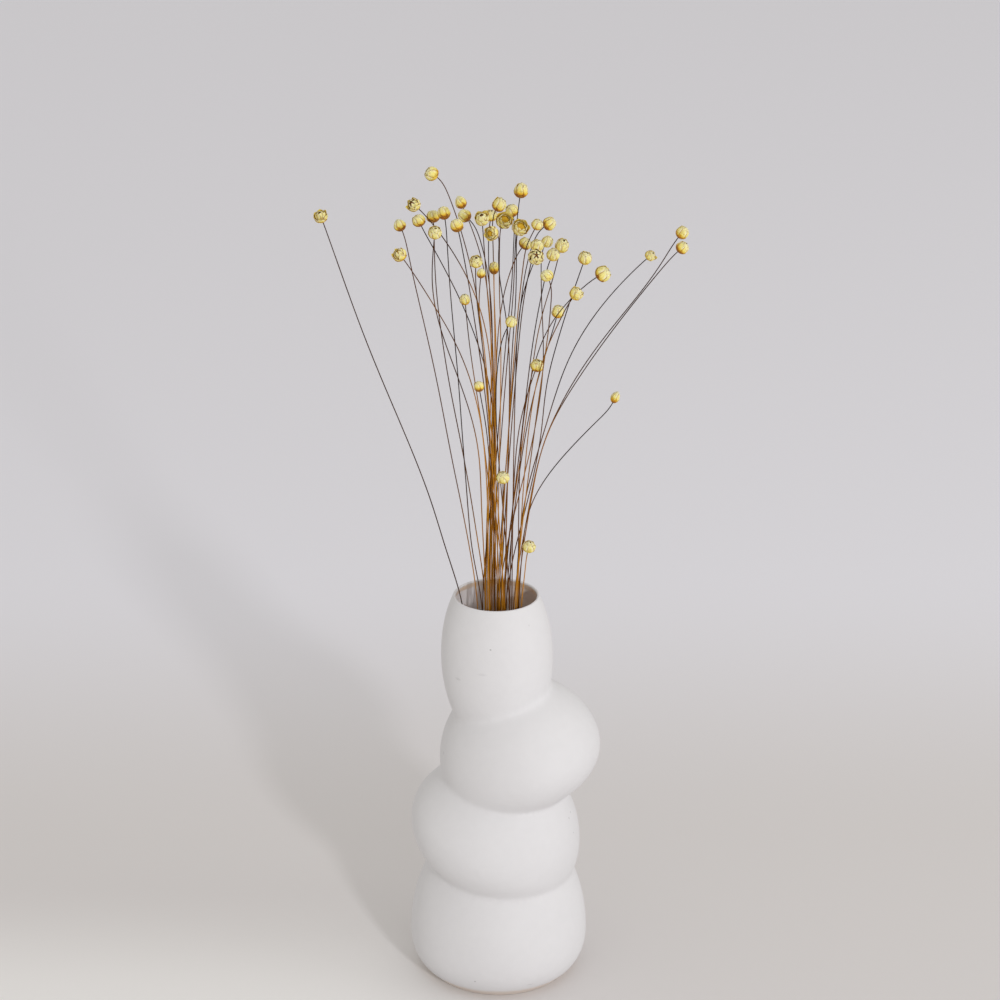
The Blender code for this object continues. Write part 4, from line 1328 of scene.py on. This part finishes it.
# A darker amber painted along each bract's margin as the shade where the bracts' edges overlap.
MARGIN_PAINTED_SHADE = (0.440, 0.235, 0.030)
VEIN_BROWN = (0.420, 0.200, 0.040)
DRY_PATCH = (0.440, 0.300, 0.050)
OWN_TONE = 0.74
TONE_FADES_ABOVE = 1.05
PATCHINESS = 0.22
PALE_HEIGHT = (0.30, 0.60)
PALE_SIDES = (0.20, 0.38)
PALE_SHARE = 0.8
PAINTED_SHADE_EDGE = (0.405, 0.450)
PAINTED_SHADE_HEIGHT = (0.97, 0.80)
PAINTED_SHADE_AT_TIP = 0.3
VEIN_STRENGTH = 0.40
DRY_STRENGTH = 0.45
BRACT_ROUGHNESS = (0.42, 0.62)
BRACT_SPECULAR = 0.18
TISSUE_LIGHT = 0.25
TISSUE_RADIUS = (1.0, 0.8, 0.5)
TISSUE_DEPTH = 0.0003


def bract_finish(name, stops, margin):
    """Papery bract, coloured by its height in the head."""
    made, tree, shader, place = new_material(name)
    mottling = noise_node(tree, place, 900.0, 3.0)
    height = attribute_node(tree, "height")
    low = math_node(tree, "SUBTRACT", TONE_FADES_ABOVE, height)
    own = math_node(tree, "SUBTRACT", attribute_node(tree, "tone"), 0.5)
    own = math_node(tree, "MULTIPLY", own, OWN_TONE)
    own = math_node(tree, "MULTIPLY", own, math_node(tree, "POWER", low, 2.0))
    patch = math_node(tree, "SUBTRACT", mottling, 0.5)
    patch = math_node(tree, "MULTIPLY", patch, PATCHINESS)
    seen = math_node(tree, "ADD", height, math_node(tree, "ADD", own, patch))
    colour = ramp_node(tree, seen, stops)
    grid = tree.nodes.new("ShaderNodeUVMap")
    grid.uv_map = "UVMap"
    across = math_node(tree, "SUBTRACT", split_node(tree, grid.outputs["UV"])["X"], 0.5)
    across = math_node(tree, "ABSOLUTE", across)
    high = math_node(tree, "MULTIPLY", range_node(tree, seen, *PALE_HEIGHT), margin * PALE_SHARE)
    paler = math_node(tree, "MULTIPLY", range_node(tree, across, *PALE_SIDES), high)
    colour = mix_node(tree, paler, colour, PAPER_MARGIN)
    # Painted shade: a thin amber line along each bract's margin, for where the bracts' edges
    # overlap, fading towards the tip.
    fading = range_node(tree, height, *PAINTED_SHADE_HEIGHT, margin * PAINTED_SHADE_AT_TIP, margin)
    line = math_node(tree, "MULTIPLY", range_node(tree, across, *PAINTED_SHADE_EDGE), fading)
    colour = mix_node(tree, line, colour, MARGIN_PAINTED_SHADE)
    fibres = noise_node(tree, grid.outputs["UV"], 5.0, 3.0, stretch=(7.0, 0.5, 1.0))
    vein = range_node(tree, fibres, 0.48, 0.72, 0.0, VEIN_STRENGTH)
    colour = mix_node(tree, vein, colour, VEIN_BROWN)
    dry = range_node(tree, mottling, 0.52, 0.66, 0.0, DRY_STRENGTH)
    colour = mix_node(tree, dry, colour, DRY_PATCH)
    paint_shader(tree, shader, colour, fibres, BRACT_ROUGHNESS)
    shader.inputs["Specular IOR Level"].default_value = BRACT_SPECULAR
    shader.inputs["Subsurface Weight"].default_value = TISSUE_LIGHT
    shader.inputs["Subsurface Radius"].default_value = TISSUE_RADIUS
    shader.inputs["Subsurface Scale"].default_value = TISSUE_DEPTH
    bump_node(tree, shader, ((fibres, 0.45, 0.00010), (mottling, 0.25, 0.00008)))
    return made


bract_outside = bract_finish("papery_yellow_bract", OUTSIDE_STOPS, 0.80)
bract_inside = bract_finish("golden_bract_inside", INSIDE_STOPS_PAINTED_PALER, 0.12)

# %% Floret and knob materials
BROWN_FLORETS = ((0.35, (0.110, 0.040, 0.006)), (0.70, (0.420, 0.170, 0.020)))
GOLDEN_FLORETS = ((0.35, (0.560, 0.300, 0.008)), (0.70, (0.800, 0.560, 0.030)))
KNOB_BROWNS = ((0.3, (0.060, 0.022, 0.006)), (0.7, (0.200, 0.075, 0.012)))
FLORET_ROUGHNESS = (0.70, 0.90)
KNOB_ROUGHNESS = (0.55, 0.75)

floret, tree, shader, place = new_material("dry_florets")
speckle = noise_node(tree, place, 1800.0, 3.0)
brown = ramp_node(tree, speckle, BROWN_FLORETS)
golden = ramp_node(tree, speckle, GOLDEN_FLORETS)
colour = mix_node(tree, attribute_node(tree, "height"), brown, golden)
paint_shader(tree, shader, colour, speckle, FLORET_ROUGHNESS)
bump_node(tree, shader, ((speckle, 0.6, 0.00015),))

knob_brown, tree, shader, place = new_material("brown_knob")
speckle = noise_node(tree, place, 1500.0, 3.0)
paint_shader(tree, shader, ramp_node(tree, speckle, KNOB_BROWNS), speckle, KNOB_ROUGHNESS)
bump_node(tree, shader, ((speckle, 0.5, 0.00010),))
print("bract finishes:", bract_outside.name, bract_inside.name)

# %% [markdown]
# ## The heads
#
# Every head is made of the same few pieces, turned by the golden angle from the one before,
# and no two bracts quite agree: each leans, ripples and opens a little in its own way. The
# inner bracts stay closer over the florets than the outer ones. Some heads in the
# photograph have a look of their own, and they are named here by their number: some are
# still buds, some end in points, some have a brown heart, three are deep cups, and six
# have a bract or two that hang loose.

# %% Heads with a look of their own
BUDS = (4, 10, 37)
POINTED_HEADS = (3, 9, 10, 17, 27, 40)
BROWN_HEARTS = (3, 5, 13, 26, 27, 30, 33, 38, 43)
DEEP_CUPS = (18, 19, 20)
BROWNER_HEADS = (4, 5, 6, 7, 10, 11, 12, 15, 16, 17, 21, 23, 31, 35, 36, 39, 40, 43, 44)
PALER_HEADS = (3, 8, 13, 20, 24, 25, 27, 29, 42, 45, 46)
LooseBract = namedtuple("LooseBract", "head direction openness")
LOOSE_BRACTS = (
    LooseBract(1, -90, 0.6), LooseBract(13, 60, 0.5), LooseBract(20, 20, 0.3),
    LooseBract(31, 30, 0.5), LooseBract(32, 10, 0.4), LooseBract(34, -40, 0.9),
)

# %% How open and how brown a head is
BUD_OPENNESS = -0.25
INNER_SHARE = 0.45
MIDDLE_SHARE = 0.80
HEART_SHOWN = 0.04
HEART_HIDDEN = 0.12
LOOSE_WITHIN = 0.5
BROWNER_TONE, MIDDLE_TONE, PALER_TONE = 0.20, 0.50, 0.75
HEAD_TONE_RANGE = 0.10


def whorl_openness(number, flower, whorl):
    """How open one whorl of a head is: 0 is shut, 1 wide open."""
    if number in BUDS:
        return BUD_OPENNESS
    if whorl is INNER_WHORL and number not in DEEP_CUPS:
        shut = HEART_SHOWN if number in BROWN_HEARTS else HEART_HIDDEN
        return flower.open * INNER_SHARE - shut
    if whorl is MIDDLE_WHORL:
        return flower.open * MIDDLE_SHARE
    return flower.open


def loosened(number, flower, around):
    """How much further a bract is open that hangs loose on the photographed head."""
    right, up, _ = view_axes()
    turned = Vector((0.0, 0.0, 1.0)).rotation_difference(facing(flower))
    way = turned @ Vector((math.cos(around), math.sin(around), 0.0))
    seen = math.atan2(way.dot(up), way.dot(right))
    extra = 0.0
    for bract in LOOSE_BRACTS:
        off = abs((seen - math.radians(bract.direction) + math.pi) % math.tau - math.pi)
        if bract.head == number and off < LOOSE_WITHIN:
            extra += bract.openness
    return extra


def head_tone(number):
    """How pale a head is, from 0 to 1."""
    middle = MIDDLE_TONE
    if number in BROWNER_HEADS:
        middle = BROWNER_TONE
    elif number in PALER_HEADS:
        middle = PALER_TONE
    return middle + chance.uniform(-HEAD_TONE_RANGE, HEAD_TONE_RANGE)


# %% The bracts of a head
BRACT_THICKNESS = 0.00011
GOLDEN_ANGLE = math.pi * (3 - math.sqrt(5))
TURN_RANGE = 0.06
LEAN_RANGE = 0.12
RIPPLE_RANGE = (0.01, 0.05)
TONE_RANGE = 0.15
OPEN_RANGE = 0.14
LEAST_OPEN, MOST_OPEN = BUD_OPENNESS * 1.4, 1.3


def bract_globe(number, flower, radius):
    """All the bracts of a head, joined and given their thickness."""
    twist = (number - 1) * GOLDEN_ANGLE
    sheet = pointed_bract if number in POINTED_HEADS else round_bract
    tone = head_tone(number)
    bracts = []
    for whorl in WHORLS:
        for place in range(whorl.count):
            around = twist + whorl.twist + math.tau * place / whorl.count
            around += chance.uniform(-TURN_RANGE, TURN_RANGE)
            openness = whorl_openness(number, flower, whorl)
            openness += chance.uniform(-OPEN_RANGE, OPEN_RANGE)
            if whorl in (OUTER_WHORL, MIDDLE_WHORL):
                openness += loosened(number, flower, around)
            openness = min(max(openness, LEAST_OPEN), MOST_OPEN)
            shape = BractShape(
                chance.uniform(-LEAN_RANGE, LEAN_RANGE),
                chance.uniform(*RIPPLE_RANGE),
                tone + chance.uniform(-TONE_RANGE, TONE_RANGE),
            )
            bracts.append(roll(sheet, whorl, openness, around, shape, radius, flower.stretch))
    made = joined(bracts)
    made.data.materials.append(bract_outside)
    made.data.materials.append(bract_inside)
    tissue = made.modifiers.new("tissue", "SOLIDIFY")
    tissue.thickness = BRACT_THICKNESS
    tissue.offset = -1.0
    tissue.material_offset = 1
    tissue.use_even_offset = False
    apply_modifiers(made)
    return made


# %% One head
FLORETS_BELOW_RIM = 0.22
DOME_WIDTH = (0.30, 0.45)
DOME_HEIGHT = 0.30
KNOB_WIDTH, KNOB_HEIGHT = 0.24, 0.12
SHARP_EDGE = math.radians(50)


def head(number, flower):
    """One flower head, seated on the tip of its stem."""
    radius = head_radius(flower)
    made = bract_globe(number, flower, radius)
    rim_openness = max(whorl_openness(number, flower, INNER_WHORL), 0.0)
    rim = whorl_curve(INNER_WHORL, rim_openness)[-1]
    wide = DOME_WIDTH[0] + rim.x * DOME_WIDTH[1]
    middle = rim.y - FLORETS_BELOW_RIM - DOME_HEIGHT
    golden_heart = 0.0 if number in BROWN_HEARTS else 1.0
    stretch = flower.stretch
    dome = squashed(floret_dome, wide, DOME_HEIGHT, middle, radius, stretch, golden_heart)
    dome.data.materials.append(floret)
    knob = squashed(stem_knob, KNOB_WIDTH, KNOB_HEIGHT, KNOB_HEIGHT, radius, stretch, 0.0)
    knob.data.materials.append(knob_brown)
    made = joined([made, dome, knob])
    bpy.ops.object.shade_smooth_by_angle(angle=SHARP_EDGE)
    upright = Vector((0.0, 0.0, 1.0)).rotation_difference(facing(flower))
    seat = head_seat(flower) + facing(flower) * GAP
    made.data.transform(Matrix.Translation(seat) @ upright.to_matrix().to_4x4())
    made.name = "glixia_head_%02d" % number
    made.data.name = made.name
    return made


heads = [head(i + 1, flower) for i, flower in enumerate(FLOWERS)]
for i, made in enumerate(heads):
    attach(made, "root")
    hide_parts("flower_head_%02d" % (i + 1))
for pattern in (round_bract, pointed_bract, floret_dome, stem_knob):
    bpy.data.objects.remove(pattern)
print("heads:", len(heads), "triangles each:", triangles(heads[0]))

# %% [markdown]
# ## Floor and light
#
# The object is lit from the right and a little in front, low enough to throw a long shadow
# to the back left whose edge stays fairly clear. A sun would make that edge too hard and a
# large panel would lose it, so the key is a small, slightly cool area light far off. A wide,
# weak light farther round to the right keeps that side bright, and an even, slightly warm
# world does the rest. The plain floor is warm near the vase and cooler far behind it, and
# in front of the vase on the left a pool of light is painted on it, paler than the rest.

# %% Floor
FLOOR_SIZE = 12.0
FLOOR_DROP = 0.0001
NEAR_FLOOR = (0.705, 0.680, 0.675)
PAINTED_LIGHT_FLOOR = (0.860, 0.845, 0.835)
FAR_FLOOR = (0.828, 0.823, 0.875)
PAINTED_LIGHT_SIDE = (0.03, -0.08)
PAINTED_LIGHT_FRONT = (0.08, -0.04)
FLOOR_CHANGE = (0.12, 0.50)
FLOOR_ROUGHNESS = 0.9

bpy.ops.object.select_all(action="DESELECT")
bpy.ops.mesh.primitive_plane_add(size=FLOOR_SIZE, location=(0.0, 0.0, -FLOOR_DROP))
floor = bpy.context.object
floor.name = "pale_floor"
paint, tree, shader, place = new_material("pale_floor_paint")
x, y, _ = split_node(tree, place)
# A pool of light is painted on the floor in front of the vase on the left: paler where x and y
# are both low.
left = range_node(tree, x, *PAINTED_LIGHT_SIDE)
front = range_node(tree, y, *PAINTED_LIGHT_FRONT)
near = mix_node(tree, math_node(tree, "MULTIPLY", left, front), NEAR_FLOOR, PAINTED_LIGHT_FLOOR)
colour = mix_node(tree, range_node(tree, y, *FLOOR_CHANGE), near, FAR_FLOOR)
tree.links.new(colour, shader.inputs["Base Color"])
shader.inputs["Roughness"].default_value = FLOOR_ROUGHNESS
floor.data.materials.append(paint)

# %% Light
WORLD_TONE = (0.995, 0.972, 0.938)
WORLD_STRENGTH = 0.675
LIGHT_AIM = Vector((0.0, 0.0, 0.2))
Lamp = namedtuple("Lamp", "name azimuth elevation distance size power tone")
LAMPS = (
    Lamp("key_light", 22.0, 18.0, 2.6, 0.20, 22.4, (0.97, 0.970, 1.00)),
    Lamp("side_light", 80.0, 12.0, 2.2, 1.60, 9.0, (0.97, 0.985, 1.00)),
)

world = bpy.data.worlds.new("pale_surroundings")
world.use_nodes = True
surroundings = world.node_tree.nodes["Background"]
surroundings.inputs["Color"].default_value = (*WORLD_TONE, 1.0)
surroundings.inputs["Strength"].default_value = WORLD_STRENGTH
bpy.context.scene.world = world
for lamp in LAMPS:
    azimuth = math.radians(lamp.azimuth)
    elevation = math.radians(lamp.elevation)
    level = math.cos(elevation)
    towards = Vector((math.sin(azimuth) * level, -math.cos(azimuth) * level, math.sin(elevation)))
    turn = towards.to_track_quat("Z", "Y").to_euler()
    spot = LIGHT_AIM + towards * lamp.distance
    bpy.ops.object.light_add(type="AREA", location=spot, rotation=turn)
    light = bpy.context.object
    light.name = lamp.name
    light.data.size = lamp.size
    light.data.energy = lamp.power
    light.data.color = lamp.tone
bpy.context.scene.view_settings.view_transform = "Standard"
print("lights:", len(LAMPS))
